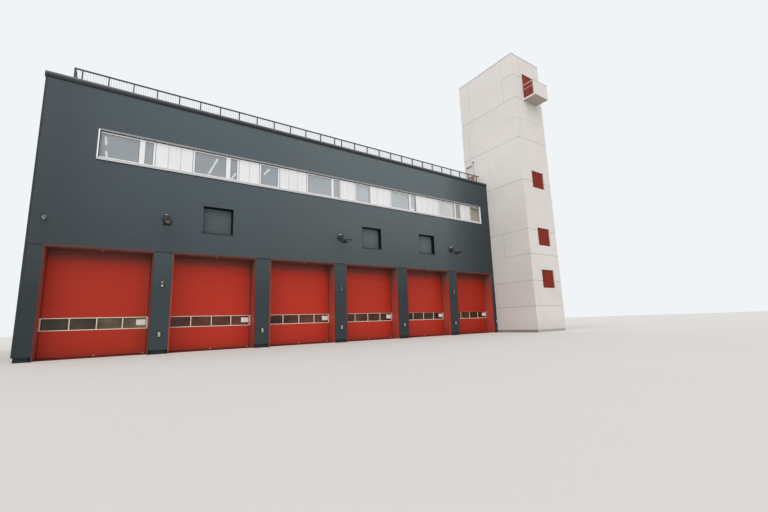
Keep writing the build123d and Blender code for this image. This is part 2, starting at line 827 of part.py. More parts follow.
def balcony_rails():
    """A handrail round the balcony on two posts, and a low rail at each end."""
    middle = (SHUTTER_START + SHUTTER_END) / 2
    tip = TOWER_FRONT - BALCONY_PROJECTION
    parapet_back = tip + BALCONY_PARAPET_THICKNESS
    ends = []
    for side in (-1, 1):
        outer = middle + side * BALCONY_WIDTH / 2
        ends.append(tuple(sorted((outer, outer - side * BALCONY_RAIL))))
    top = BALCONY_FLOOR + BALCONY_HANDRAIL
    rail_z = (top - BALCONY_RAIL, top)
    front_y = (tip, tip + BALCONY_RAIL)
    handrail = block((ends[0][0], ends[1][1]), front_y, rail_z)
    for x in ends:
        handrail += block(x, (front_y[1], TOWER_FRONT), rail_z)
        handrail += block(x, front_y, (BALCONY_FLOOR + BALCONY_PARAPET, rail_z[0]))
    low = BALCONY_FLOOR + BALCONY_LOW_RAIL
    low_z = (low, low + BALCONY_RAIL)
    return [handrail] + [block(x, (parapet_back, TOWER_FRONT), low_z) for x in ends]


def balcony_door():
    """The ribbed double door behind the balcony."""
    return ribbed_panel(BALCONY_FLOOR, BALCONY_DOOR_HEIGHT)


def roof_door():
    """The red door onto the hall's roof, with its frame."""
    x = (HALL_LENGTH + DOOR_SETBACK, HALL_LENGTH + DOOR_SETBACK + DOOR_THICKNESS)
    y = (ROOF_DOOR_NEAR, ROOF_DOOR_NEAR + ROOF_DOOR_WIDTH)
    z = (ROOF_DOOR_SILL, ROOF_DOOR_TOP)
    door = block(x, y, z)
    groove = block(
        (x[0], x[0] + SECTION_JOINT_DEPTH),
        (y[0] + DOOR_FRAME, y[1] - DOOR_FRAME),
        (z[0] + DOOR_FRAME, z[1] - DOOR_FRAME),
    )
    return door - groove


# Small pieces on the front

def pier_middle(bay):
    """Middle of the pier between two bays, counted from the left."""
    return (OPENINGS[bay - 1][1] + OPENINGS[bay][0]) / 2


def signal_lamps():
    """A small two-lamp signal on every other pier."""
    width, depth, height = SIGNAL_SIZE
    lamps = []
    for bay in LAMP_PIERS:
        x = pier_middle(bay)
        body = block(
            (x - width / 2, x + width / 2),
            (-depth, 0),
            (SIGNAL_LEVEL - height / 2, SIGNAL_LEVEL + height / 2),
        )
        lamps.append(body)
    return lamps


def signal_lenses():
    """The two round lenses of each signal."""
    y = -SIGNAL_SIZE[1] - SIGNAL_LENS_DEPTH / 2
    lens = Rot(90, 0, 0) * Cylinder(SIGNAL_LENS_RADIUS, SIGNAL_LENS_DEPTH)
    lenses = []
    for bay in LAMP_PIERS:
        for step in (-SIGNAL_LENS_GAP / 2, SIGNAL_LENS_GAP / 2):
            lenses.append(Pos(pier_middle(bay), y, SIGNAL_LEVEL + step) * lens)
    return lenses


def call_boxes():
    """A small white box at hand height on each pier right of a door."""
    width, depth, height = CALL_BOX_SIZE
    places = [pier_middle(bay) for bay in range(1, BAY_COUNT)]
    places.append((OPENINGS[-1][1] + HALL_LENGTH) / 2)
    z = (CALL_BOX_LEVEL - height / 2, CALL_BOX_LEVEL + height / 2)
    return [block((x - width / 2, x + width / 2), (-depth, 0), z) for x in places]


def door_sensors():
    """A sensor under the middle of each opening's head."""
    width, depth, height = SENSOR_SIZE
    top = OPENING_HEIGHT - LINING
    sensors = []
    for low, high in OPENINGS:
        x = (low + high) / 2
        sensors.append(block((x - width / 2, x + width / 2), (0, depth), (top - height, top)))
    return sensors


def floodlight(x):
    """A flat lamp head that reaches out on an arm from a round housing."""
    drum_place = Pos(x, -FLOOD_DRUM_DEPTH / 2, FLOOD_LEVEL) * Rot(90, 0, 0)
    drum = drum_place * Cylinder(FLOOD_DRUM_RADIUS, FLOOD_DRUM_DEPTH)
    near = -FLOOD_HEAD_NEAR
    middle = near - FLOOD_HEAD_LENGTH / 2
    far = near - FLOOD_HEAD_LENGTH
    foot = FLOOD_LEVEL - FLOOD_HEAD_DROP
    profile = (
        (near, foot),
        (far, foot + FLOOD_HEAD_RISE),
        (far, foot + FLOOD_HEAD_RISE + FLOOD_HEAD_EDGE),
        (middle, foot + FLOOD_HEAD_HEIGHT + FLOOD_HEAD_EDGE),
        (near, foot + FLOOD_HEAD_HEIGHT),
    )
    head = along_x(profile, (x - FLOOD_HEAD_WIDTH / 2, x + FLOOD_HEAD_WIDTH / 2))
    root = -FLOOD_DRUM_DEPTH + FLOOD_ARM
    tip = near - FLOOD_ARM
    outline = (
        (root, FLOOD_LEVEL - FLOOD_ARM),
        (root, FLOOD_LEVEL + FLOOD_ARM / 2),
        (tip, foot + FLOOD_HEAD_HEIGHT + FLOOD_ARM / 2),
        (tip, foot + FLOOD_HEAD_HEIGHT - FLOOD_ARM),
    )
    arm = along_x(outline, (x - FLOOD_ARM / 2, x + FLOOD_ARM / 2))
    return drum + arm + head


def floodlights():
    """Three lamps above the piers that carry signals."""
    return [floodlight(pier_middle(bay)) for bay in LAMP_PIERS]


def security_camera():
    """A tilted round camera on an arm and wall plate at the hall's left end."""
    x, z = CAMERA_PLACE
    half = CAMERA_PLATE / 2
    plate_x = (x - CAMERA_ARM / 2, x + CAMERA_PLATE - CAMERA_ARM / 2)
    plate = block(plate_x, (-CAMERA_PLATE_DEPTH, 0), (z, z + CAMERA_PLATE))
    arm_z = (z + half - CAMERA_ARM, z + half)
    arm = block((x, x + CAMERA_ARM), (-CAMERA_REACH, 0), arm_z)
    body = Pos(x, -CAMERA_REACH, z) * Rot(0, -CAMERA_TILT, 0) * Cylinder(CAMERA_RADIUS, CAMERA_LENGTH)
    return plate + arm + body


def roof_door_lamps():
    """A long light over the roof door and a round lamp beside it."""
    depth, width, height = LONG_LIGHT
    start = ROOF_DOOR_NEAR + ROUND_LAMP_RADIUS * 2
    low = ROOF_DOOR_TOP + LONG_LIGHT_RISE
    long_light = block((HALL_LENGTH - depth, HALL_LENGTH), (start, start + width), (low, low + height))
    place = (
        HALL_LENGTH - ROUND_LAMP_DEPTH / 2,
        ROOF_DOOR_NEAR,
        ROOF_DOOR_TOP + ROUND_LAMP_RISE,
    )
    round_lamp = Pos(*place) * Rot(0, 90, 0) * Cylinder(ROUND_LAMP_RADIUS, ROUND_LAMP_DEPTH)
    return long_light, round_lamp


def build():
    """Write every node."""
    os.makedirs("parts", exist_ok=True)
    save("plinth_front_rear", *front_plinth())
    save("plinth_sides", *side_plinth())
    save("floor_slab", floor_slab())
    save("door_sills", *[door_sill(opening) for opening in OPENINGS])
    save("front_piers", *front_piers())
    save("front_wall_over_doors", front_wall_over_doors())
    save("front_wall_beside_louvres", *front_wall_beside_louvres())
    save("front_wall_under_windows", front_wall_under_windows())
    save("front_wall_over_windows", front_wall_over_windows())
    save("side_walls_lower", *side_walls_lower())
    save("side_walls_upper", *side_walls_upper())
    save("rear_wall_lower", rear_wall((PLINTH_HEIGHT, BAND_BOTTOM)))
    save("rear_wall_upper", rear_wall((BAND_TOP, WALL_TOP)))
    save("corner_piers", *corner_piers())
    save("upper_floor", upper_floor())
    save("roof_deck", roof_deck())
    long_strips, short_strips = coping_strips()
    save("roof_coping_front_rear", *long_strips)
    save("roof_coping_sides", *short_strips)
    save("window_frames", *on_every_wall(window_frame))
    save("window_panels", *on_every_wall(window_panels))
    save("window_glass", *on_every_wall(window_glass))
    save("louvres", *[louvre(place) for place in LOUVRE_PLACES])
    save("door_linings", *[door_lining(opening) for opening in OPENINGS])
    for number, opening in enumerate(OPENINGS, start=1):
        save(f"bay_door_{number}", bay_door(opening))
    save("door_window_frames", *[door_window_frame(opening) for opening in OPENINGS])
    save("door_window_glass", *[pane for opening in OPENINGS for pane in door_window_glass(opening)])
    front_run, rear_run, side_runs = roof_railings()
    save("roof_railing_front", front_run)
    save("roof_railing_rear", rear_run)
    save("roof_railing_sides", *side_runs)
    names = ("tower_front_wall", "tower_left_wall", "tower_right_wall", "tower_rear_wall")
    for name, wall in zip(names, tower_walls()):
        save(name, wall)
    save("tower_base", tower_base())
    save("tower_floors", *tower_floors())
    save("tower_roof", tower_roof())
    save("tower_coping", tower_coping())
    save("tower_shutters", *tower_shutters())
    save("balcony", balcony())
    save("balcony_rails", *balcony_rails())
    save("balcony_door", balcony_door())
    save("roof_door", roof_door())
    save("roof_door_lamps", *roof_door_lamps())
    save("signal_lamps", *signal_lamps())
    save("signal_lenses", *signal_lenses())
    save("call_boxes", *call_boxes())
    save("door_sensors", *door_sensors())
    save("floodlights", *floodlights())
    save("security_camera", security_camera())


build()
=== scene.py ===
import math

import bpy
import numpy as np
from mathutils import Matrix, Vector


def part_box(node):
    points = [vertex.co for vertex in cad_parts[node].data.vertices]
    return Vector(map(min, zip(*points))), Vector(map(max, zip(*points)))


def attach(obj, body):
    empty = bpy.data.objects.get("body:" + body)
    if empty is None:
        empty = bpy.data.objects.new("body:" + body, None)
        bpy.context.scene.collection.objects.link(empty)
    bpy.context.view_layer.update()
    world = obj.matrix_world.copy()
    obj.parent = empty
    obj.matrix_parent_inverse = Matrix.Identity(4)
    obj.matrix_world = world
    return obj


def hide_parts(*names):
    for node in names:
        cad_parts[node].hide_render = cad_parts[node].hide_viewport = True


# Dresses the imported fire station: ribbed cladding, glazing, railing infill,
# door furniture, lamps, and a finish for every piece. Metres. X runs along
# the front towards the tower, Y into the building, Z up.

bl_info = {
    "name": "Fire station finishes",
    "version": (1, 0, 0),
    "blender": (4, 5, 0),
    "location": "View3D > Sidebar > Fire station",
    "description": "Cladding, glazing, railing infill, lamps and finishes for the packed fire station",
    "category": "Object",
}

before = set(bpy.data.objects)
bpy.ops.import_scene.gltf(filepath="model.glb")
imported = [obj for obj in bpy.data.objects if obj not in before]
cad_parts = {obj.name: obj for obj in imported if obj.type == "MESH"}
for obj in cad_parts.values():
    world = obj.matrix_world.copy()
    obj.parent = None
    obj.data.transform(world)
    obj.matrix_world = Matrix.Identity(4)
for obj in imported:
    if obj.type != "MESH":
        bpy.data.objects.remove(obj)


def shade(red, green, blue):
    """The linear colour of three screen values from 0 to 255."""
    values = np.array((red, green, blue)) / 255
    linear = np.where(values <= 0.04045, values / 12.92, ((values + 0.055) / 1.055) ** 2.4)
    return tuple(float(v) for v in linear)


def colour(name, what, red, green, blue):
    """A colour property that starts from three screen values."""
    start = shade(red, green, blue)
    return bpy.props.FloatVectorProperty(
        name=name, description=what, subtype="COLOR", size=3, min=0.0, max=1.0, default=start
    )


def length(name, what, value):
    """A length property in metres."""
    return bpy.props.FloatProperty(
        name=name, description=what, default=value, min=0.0001, unit="LENGTH", precision=4
    )


def power(name, what, value):
    """A property for the strength of a light."""
    return bpy.props.FloatProperty(name=name, description=what, default=value, min=0.0)


class StationSizes(bpy.types.PropertyGroup):
    """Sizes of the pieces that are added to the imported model."""

    rib_pitch: length("Rib pitch", "Distance from rib to rib of the wall cladding", 0.125)
    rib_depth: length("Rib depth", "How far a rib stands out of the cladding", 0.0018)
    rib_base: length("Sheet offset", "Distance of the cladding's valleys from the wall", 0.004)
    sheet_gap: length("Trim width", "Width of the corner trims", 0.07)
    bar_pitch: length("Bar pitch", "Distance between the railing's infill bars", 0.11)
    bar_width: length("Bar width", "Width of one infill bar", 0.012)
    blade_pitch: length("Louvre pitch", "Height of one louvre blade", 0.14)
    sash_step: length("Sash step", "Width of the raised rim inside a window frame", 0.028)
    gasket: length("Gasket", "Width of the rubber line round a pane", 0.012)
    # pane_edge is the width of a dark strip beside a pane: painted shadow in the window's reveal.
    pane_edge: length("Pane edge", "Width of the dark hinge cover beside a pane", 0.03)
    seal: length("Door seal", "Height of the rubber under a bay door", 0.022)
    # The side seals are also painted shade where the leaf meets the reveal.
    side_seal: length("Side seal", "Width of the rubber beside a bay door", 0.035)
    notice_width: length("Notice width", "Width of the blank notice in a bay door's last pane", 0.40)
    notice_height: length("Notice height", "Height of the same notice", 0.27)
    tube_width: length("Ceiling light width", "Width of the linear lights in the upper storey", 0.11)


class StationColours(bpy.types.PropertyGroup):
    """Colours of the finishes."""

    cladding: colour("Cladding", "Painted ribbed sheet on the hall", 72, 84, 89)
    pier: colour("Piers", "Flat panels between the bay doors", 56, 69, 73)
    trim: colour("Trims", "Copings, corner trims and flashings", 43, 49, 51)
    louvre: colour("Louvres", "Blades and frames of the louvres", 88, 100, 102)
    concrete: colour("Concrete", "Precast panels of the tower", 219, 214, 210)
    # This colour also paints the shade on the tower's faces that look down.
    concrete_stain_and_shade: colour("Concrete stain", "Damp and dust on the concrete", 172, 161, 150)
    slab: colour("Slabs", "Floors inside", 150, 148, 143)
    membrane: colour("Roof membrane", "Sealing of the flat roofs", 96, 98, 99)
    plinth: colour("Plinth", "Foot of the walls", 41, 48, 49)
    door: colour("Door red", "Leaves of the bay doors", 176, 45, 25)
    lining: colour("Lining red", "Reveals round the bay doors", 118, 46, 38)
    panel_red: colour("Tower red", "Ribbed panels of the tower", 126, 40, 28)
    cream: colour("Cream frames", "Frames of the glazed door sections", 234, 212, 196)
    white: colour("White frames", "Frames and sill of the window band", 240, 240, 242)
    panel: colour("White panels", "Blank panels of the window band", 240, 240, 242)
    pane: colour("Window panes", "Tint of the upper storey's panes", 176, 184, 190)
    door_pane: colour("First door's panes", "Tint of the first bay door's panes", 91, 82, 66)
    warm_pane: colour("Other door panes", "Tint of the other bay doors' panes", 93, 50, 33)
    metal: colour("Dark metal", "Railing posts and signal housings", 66, 63, 62)
    zinc: colour("Galvanised steel", "Infill bars and handles", 166, 168, 168)
    rubber: colour("Rubber", "Gaskets and buttons", 24, 24, 25)
    amber: colour("Amber lens", "Upper lens of the door signals", 176, 130, 92)
    clear: colour("Clear lens", "Lower lens of the door signals", 188, 187, 178)
    sand: colour("Sand blind", "Drawn blind in the last window", 174, 160, 122)
    blind: colour("White blind", "Half-drawn blinds", 205, 207, 208)
    # The lamp caps are white domes that paint the highlight on the floodlights' drums.
    plate: colour("Notice plate", "Blank notices and lamp caps", 232, 231, 226)


class StationStage(bpy.types.PropertyGroup):
    """Light and floor."""

    sky: power("Sky strength", "Even light from all round", 0.74)
    sun: power("Sun strength", "Very soft light from the front left", 1.6)
    backdrop: colour("Backdrop", "What the camera sees behind the building", 240, 244, 247)
    floor: colour("Floor", "Plain floor round the building", 214, 211, 207)


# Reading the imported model

def points_of(node):
    """The points of a CAD node as rows."""
    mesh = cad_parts[node].data
    points = np.empty(len(mesh.vertices) * 3)
    mesh.vertices.foreach_get("co", points)
    return points.reshape(-1, 3)


def islands(node):
    """Box (low, high) of each separate solid of a CAD node, from left to right.

    Points that share a triangle take the lowest number among them, over and
    over until nothing changes, so that each solid ends with one number.
    """
    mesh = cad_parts[node].data
    corners = np.empty(len(mesh.loops), int)
    mesh.loops.foreach_get("vertex_index", corners)
    merged, same = np.unique(np.round(points_of(node), 4), axis=0, return_inverse=True)
    triangles = same.ravel()[corners].reshape(-1, 3)
    label = np.arange(len(merged))
    while True:
        lowest = label.copy()
        for corner in range(3):
            np.minimum.at(lowest, triangles[:, corner], label[triangles].min(1))
        if (lowest == label).all():
            break
        label = lowest
    found = [(merged[label == n].min(0), merged[label == n].max(0)) for n in np.unique(label)]
    return sorted(found, key=lambda box: (round(box[0][0], 3), round(box[0][2], 3)))


def box_of(*nodes):
    """Lowest and highest corner of several CAD nodes together, as arrays."""
    corners = np.array([[list(corner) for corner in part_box(node)] for node in nodes])
    return corners[:, 0].min(0), corners[:, 1].max(0)


WALLS_LOW, WALLS_HIGH = box_of("front_wall_over_doors", "rear_wall_upper")
LEFT, FRONT = WALLS_LOW[:2]
RIGHT, REAR = WALLS_HIGH[:2]
WALLS = (
    ("front", Vector((LEFT, FRONT, 0)), Vector((1, 0, 0)), Vector((0, -1, 0))),
    ("right", Vector((RIGHT, FRONT, 0)), Vector((0, 1, 0)), Vector((1, 0, 0))),
    ("rear", Vector((RIGHT, REAR, 0)), Vector((-1, 0, 0)), Vector((0, 1, 0))),
    ("left", Vector((LEFT, REAR, 0)), Vector((0, -1, 0)), Vector((-1, 0, 0))),
)
HALL_TOP = box_of("side_walls_upper")[1][2]
OPENING_TOP = box_of("front_piers")[1][2]
FIRST_LINING, SECOND_LINING = islands("door_linings")[:2]
BAY_START = FIRST_LINING[0][0]
BAY_PITCH = SECOND_LINING[0][0] - BAY_START
BAY_WIDTH = FIRST_LINING[1][0] - BAY_START
SILL_BACK = box_of("door_sills")[1][1]
TOWER_SIDE = box_of("tower_front_wall")[0][1] + 1.18
TOWER_MIDDLE = box_of("tower_front_wall")[0][1] + 2.44
TOWER_REAR = box_of("tower_rear_wall")[1][1] - 1.18
ROOF_DOOR_NEAR = box_of("roof_door")[0][1]
RAIL_CAP, RAIL_TOP = box_of("balcony_rails")[0][1] + 0.14, box_of("balcony_rails")[1][2]

# Joints of the tower's panels: levels, levels that stop at a place, and uprights

TOWER_LEVELS = (2.03, 4.06, 8.23, 12.45, 16.17, 19.85)
TOWER_HALF_LEVELS = ((6.2, TOWER_MIDDLE), (22.0, TOWER_SIDE))
TOWER_UPRIGHTS = ((TOWER_MIDDLE, 6.2, 8.23), (TOWER_SIDE, 19.85, 23.35), (TOWER_REAR, 19.85, 23.35))

# Widths and depths in the louvres and the window band. A ceiling light is its distance from
# the hall's left side, then those of its ends from the front; a blind is the number of its
# pane, the share of the pane that it covers, and its finish.

LOUVRE_FRAME = 0.045
LOUVRE_DEPTH = 0.11
LOUVRE_SILL_LAP = 0.06
SASH_REBATE = 0.033
BAND_HEAD = 0.05
BAND_JAMB = 0.06
BAND_SILL = 0.12
CEILING_LIGHT_LEVEL = 11.3
CEILING_LIGHTS = (
    (2.35, 1.64, 2.88), (2.35, 3.87, 5.06), (7.92, 1.77, 4.62), (9.42, 1.77, 2.9), (9.42, 3.71, 5.06),
    (11.1, 1.53, 2.93), (14.2, 4.4, 7.2), (17.1, 4.4, 7.2), (20.8, 4.4, 7.2), (25.4, 4.4, 7.2),
    (28.4, 4.4, 7.2),
)
BLINDS = ((8, 0.55, "blind"), (10, 1.0, "blind"), (12, 1.0, "sand"))

# Dark strips beside the front panes, painted shadow in the windows' reveals, show beyond one place, and are
# wider beyond another

PANE_SHADOW_FROM = -3.0
WIDE_PANE_SHADOW_FROM = 6.0
WIDE_PANE_SHADOW_SHARE = 1.7

# How finishes change from place to place: (place, value) points joined by lines. A place is X, but
# Z in the RISE lists, and the distance from the opening's side in LEAF_EDGE and ROOF_DOOR_PALE. A
# value multiplies the colour, but LEAF_TOP_BAR holds levels, LAST_PANE the opacity, SHEET_HUE,
# PANE_GREY and ROOF_DOOR_PALE shares of a second colour, LEAF_EDGE times LEAF_EDGE_ALONG a share
# added, and SHEET_LOW a share taken off near the doors. The values follow the photograph's light,
# not a change in the real paint.

SHEET_ALONG = (
    (-15.0, 0.50), (-14.2, 0.52), (-12.7, 0.68), (-11.2, 0.77), (-8.2, 0.90), (-5.2, 0.97), (-2.2, 1.10),
    (0.8, 1.19), (6.8, 1.23), (9.6, 1.20), (11.3, 0.74), (12.8, 0.50), (14.3, 0.39), (15.0, 0.37),
)
SHEET_LOW = ((-2.0, 0.0), (6.8, 0.13), (9.8, 0.16), (11.3, 0.06), (12.8, -0.06), (14.3, -0.14))
SHEET_RISE = ((5.0, 0.76), (7.0, 0.92), (8.5, 1.02), (10.5, 1.15), (12.8, 1.25))
SHEET_HUE = ((-12.7, 0.0), (-5.2, 0.5), (-2.2, 1.0), (9.8, 1.0), (12.8, 0.2))
PIER_ALONG = ((-14.9, 0.78), (-9.9, 1.24), (-4.9, 1.06), (0.1, 1.0), (5.2, 0.76), (10.2, 0.76), (15.0, 0.80))
PIER_RISE = ((3.0, 0.67), (3.9, 0.86), (4.7, 0.98))
LINING_FRONT = ((-10.6, 0.5), (-9.8, 2.1), (-4.4, 2.0), (0.5, 1.3), (5.5, 1.0))
LINING_ALONG = ((-10.3, 1.25), (-5.3, 1.72), (-0.3, 2.12), (9.8, 2.1), (14.8, 2.3))
LINING_RISE = ((0.6, 1.05), (1.6, 1.15), (2.5, 1.1), (3.3, 0.98))
LEAF_ALONG = ((-12.4, 1.03), (-7.4, 1.13), (-2.4, 1.17), (2.6, 1.11), (7.7, 1.06), (12.7, 0.93))
LEAF_EDGE = ((0.0, 0.35), (0.5, 0.10), (0.9, 0.0))
LEAF_EDGE_ALONG = (
    (-10.6, 0.3), (-9.6, 1.0), (-4.8, 1.0), (-4.4, 0.6), (0.3, 0.6), (0.7, 0.35), (5.6, 0.1),
)
LEAF_TOP_BAR = ((-12.0, 1.834), (3.0, 1.820), (7.0, 1.806), (12.0, 1.800))
DOOR_PANE_ALONG = (
    (-12.5, 0.50), (-12.3, 1.50), (-9.9, 1.50), (-9.5, 0.9), (4.8, 0.9), (6.5, 0.45), (9.8, 0.45),
    (10.6, 0.8),
)
PANE_ALONG = (
    (-2.3, 1.0), (-2.1, 1.2), (0.3, 1.3), (1.3, 1.5), (2.8, 1.5), (4.3, 1.5), (5.6, 1.44), (7.8, 1.64),
    (9.1, 1.68), (10.88, 1.68), (10.94, 1.0),
)
PANE_GREY = ((3.0, 0.0), (7.0, 0.6), (9.1, 1.0))
LAST_PANE = ((12.6, 0.62), (12.7, 0.15))
PANEL_ALONG = ((5.0, 1.0), (10.5, 0.94), (11.4, 0.88), (13.0, 0.87))
BAND_RISE = ((9.449, 0.66), (9.451, 1.0), (10.868, 1.0), (10.872, 0.36))
BLIND_RISE = ((9.8, 1.0), (10.5, 0.72))
TOWER_RISE = ((0.5, 0.91), (5.0, 0.95), (8.0, 0.98), (10.4, 1.04), (14.0, 1.10), (17.0, 1.13), (21.0, 1.06))
COPING_RISE = tuple(
    (HALL_TOP + rise, share) for rise, share in ((0.01, 0.3), (0.05, 0.4), (0.10, 1.2), (0.15, 1.7))
)
RAIL_RISE = ((RAIL_TOP - 0.10, 1.0), (RAIL_TOP - 0.08, 1.5))
LENS_ALONG = ((-9.5, 1.0), (-4.5, 0.5))
ROOF_DOOR_PALE = ((0.40, 0.0), (0.48, 0.35), (0.70, 0.45), (0.80, 0.85))

# Linear colours of dust and dirt, and the cladding's cooler and warmer shares of its tint

DUST = (0.33, 0.31, 0.28)
ROAD_DIRT = (0.075, 0.038, 0.030)
SHEET_COOL = (0.935, 1.0, 1.045)
SHEET_WARM = (1.065, 1.0, 0.955)

# The photograph's view

CAMERA_LENS = 18.13
CAMERA_YAW = math.radians(34.897)
CAMERA_PITCH = math.radians(9.772)
CAMERA_ROLL = math.radians(-1.941)
CAMERA_PLACE = Vector((-11.787, -32.069, 1.141))


# Making meshes

def boxes(low, high):
    """Boxes between matching rows of low and high corners.

    Corner n of a box takes the high value of x, y or z where bit 0, 1 or 2
    of n is set, and the low value elsewhere.
    """
    low = np.atleast_2d(np.asarray(low, float))
    high = np.atleast_2d(np.asarray(high, float))
    bits = np.array([[n & 1, n >> 1 & 1, n >> 2 & 1] for n in range(8)])
    points = low[:, None] + bits[None] * (high - low)[:, None]
    sides = np.array([[0, 2, 3, 1], [4, 5, 7, 6], [0, 1, 5, 4], [2, 6, 7, 3], [0, 4, 6, 2], [1, 3, 7, 5]])
    faces = sides[None] + 8 * np.arange(len(low))[:, None, None]
    return points.reshape(-1, 3), faces.reshape(-1, 4).tolist()


def run(profile, start, end, across=(0, 1, 0), up=(0, 0, 1)):
    """A profile carried straight from start to end.

    Point i of the outline lies at start + across * a_i + up * b_i, and again
    at end + the same. Neighbouring points make one face of the side, and the
    outline closes both ends.
    """
    outline, start, end, across, up = (np.asarray(v, float) for v in (profile, start, end, across, up))
    following = np.roll(outline, -1, 0)
    area = (outline[:, 0] * following[:, 1] - following[:, 0] * outline[:, 1]).sum()
    if area * (np.cross(across, up) @ (end - start)) < 0:
        outline = outline[::-1]
    offsets = outline[:, :1] * across + outline[:, 1:] * up
    count = len(outline)
    here = np.arange(count)
    after = (here + 1) % count
    sides = np.stack((here, after, after + count, here + count), 1).tolist()
    ends = [here[::-1].tolist(), (here + count).tolist()]
    return np.concatenate((start + offsets, end + offsets)), sides + ends


def turned(profile, centre, axis, steps=24, hollow=False):
    """A surface of revolution: radius and height along the axis, turned round it.

    Point (i, j) lies at centre + axis * h_i + r_i * (u cos t_j + v sin t_j),
    with t_j from 0 to a full turn. Both ends are closed by their middle, or
    in a hollow ring the profile's last point joins its first.
    """
    axis = Vector(axis).normalized()
    first = axis.orthogonal().normalized()
    second = axis.cross(first)
    axis, first, second, centre = (np.array(v, float) for v in (axis, first, second, centre))
    radius, height = np.asarray(profile, float).T
    angle = np.linspace(0, 2 * math.pi, steps, endpoint=False)
    circle = np.cos(angle)[:, None] * first + np.sin(angle)[:, None] * second
    grid = centre + height[:, None, None] * axis + radius[:, None, None] * circle[None]
    rows = len(radius)
    i, j = np.meshgrid(np.arange(rows if hollow else rows - 1), np.arange(steps), indexing="ij")
    below, beside = (i + 1) % rows, (j + 1) % steps
    quads = np.stack((i * steps + j, i * steps + beside, below * steps + beside, below * steps + j), -1)
    points, faces = grid.reshape(-1, 3), quads.reshape(-1, 4).tolist()
    if hollow:
        return points, faces
    spoke = np.arange(steps)
    wrap = (spoke + 1) % steps
    last = (rows - 1) * steps
    foot = np.stack((np.full(steps, rows * steps), wrap, spoke), 1)
    head = np.stack((np.full(steps, rows * steps + 1), last + spoke, last + wrap), 1)
    middles = centre + np.outer(height[[0, -1]], axis)
    return np.concatenate((points, middles)), faces + foot.tolist() + head.tolist()


def piece(name, parts, finish, smooth=None, bevel=None):
    """A mesh object made of several parts, at the origin, that rides on the building."""
    points, faces = [], []
    for part_points, part_faces in parts:
        faces += [[corner + len(points) for corner in face] for face in part_faces]
        points += part_points.tolist()
    mesh = bpy.data.meshes.new(name)
    mesh.from_pydata(points, [], faces)
    mesh.validate()
    mesh.materials.append(FINISHES[finish])
    if smooth:
        mesh.shade_smooth()
        mesh.set_sharp_from_angle(angle=math.radians(smooth))
    mesh.update()
    made = bpy.data.objects.new(name, mesh)
    bpy.context.scene.collection.objects.link(made)
    if bevel:
        modifier = made.modifiers.new("edges", "BEVEL")
        modifier.width = bevel
        modifier.segments = 2
        modifier.limit_method = "ANGLE"
    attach(made, "root")
    return made


# Finishes

def maths(operation, swapped=False):
    """A method that adds a Math node to the tree of its wire."""

    def method(self, *others):
        values = (self, *others)
        return self.nodes.add("ShaderNodeMath", {"operation": operation}, values[::-1] if swapped else values)

    return method


class Wire:
    """A shader socket that adds Math nodes when it is used in an expression."""

    def __init__(self, nodes, socket):
        self.nodes = nodes
        self.socket = socket

    __add__ = __radd__ = maths("ADD")
    __mul__ = __rmul__ = maths("MULTIPLY")
    __sub__ = maths("SUBTRACT")
    __rsub__ = maths("SUBTRACT", swapped=True)
    __truediv__ = maths("DIVIDE")
    __mod__ = maths("FLOORED_MODULO")
    __gt__ = maths("GREATER_THAN")
    __lt__ = maths("LESS_THAN")
    __abs__ = maths("ABSOLUTE")


class Nodes:
    """A node tree, filled from empty."""

    def __init__(self, tree):
        self.tree = tree
        tree.nodes.clear()

    def add(self, kind, settings=None, values=(), out=0):
        """Make a node: its settings first, then the values or links of its sockets."""
        node = self.tree.nodes.new(kind)
        for key, value in (settings or {}).items():
            setattr(node, key, value)
        for key, value in values.items() if isinstance(values, dict) else enumerate(values):
            if isinstance(value, Wire):
                self.tree.links.new(value.socket, node.inputs[key])
            elif hasattr(value, "__len__") and len(node.inputs[key].default_value) == 4:
                node.inputs[key].default_value = (*value, 1.0)
            else:
                node.inputs[key].default_value = value
        return Wire(self, node.outputs[out])

    def close(self, kind, shader):
        """Make the output node and link the shader to it."""
        self.tree.links.new(shader.socket, self.tree.nodes.new(kind).inputs["Surface"])


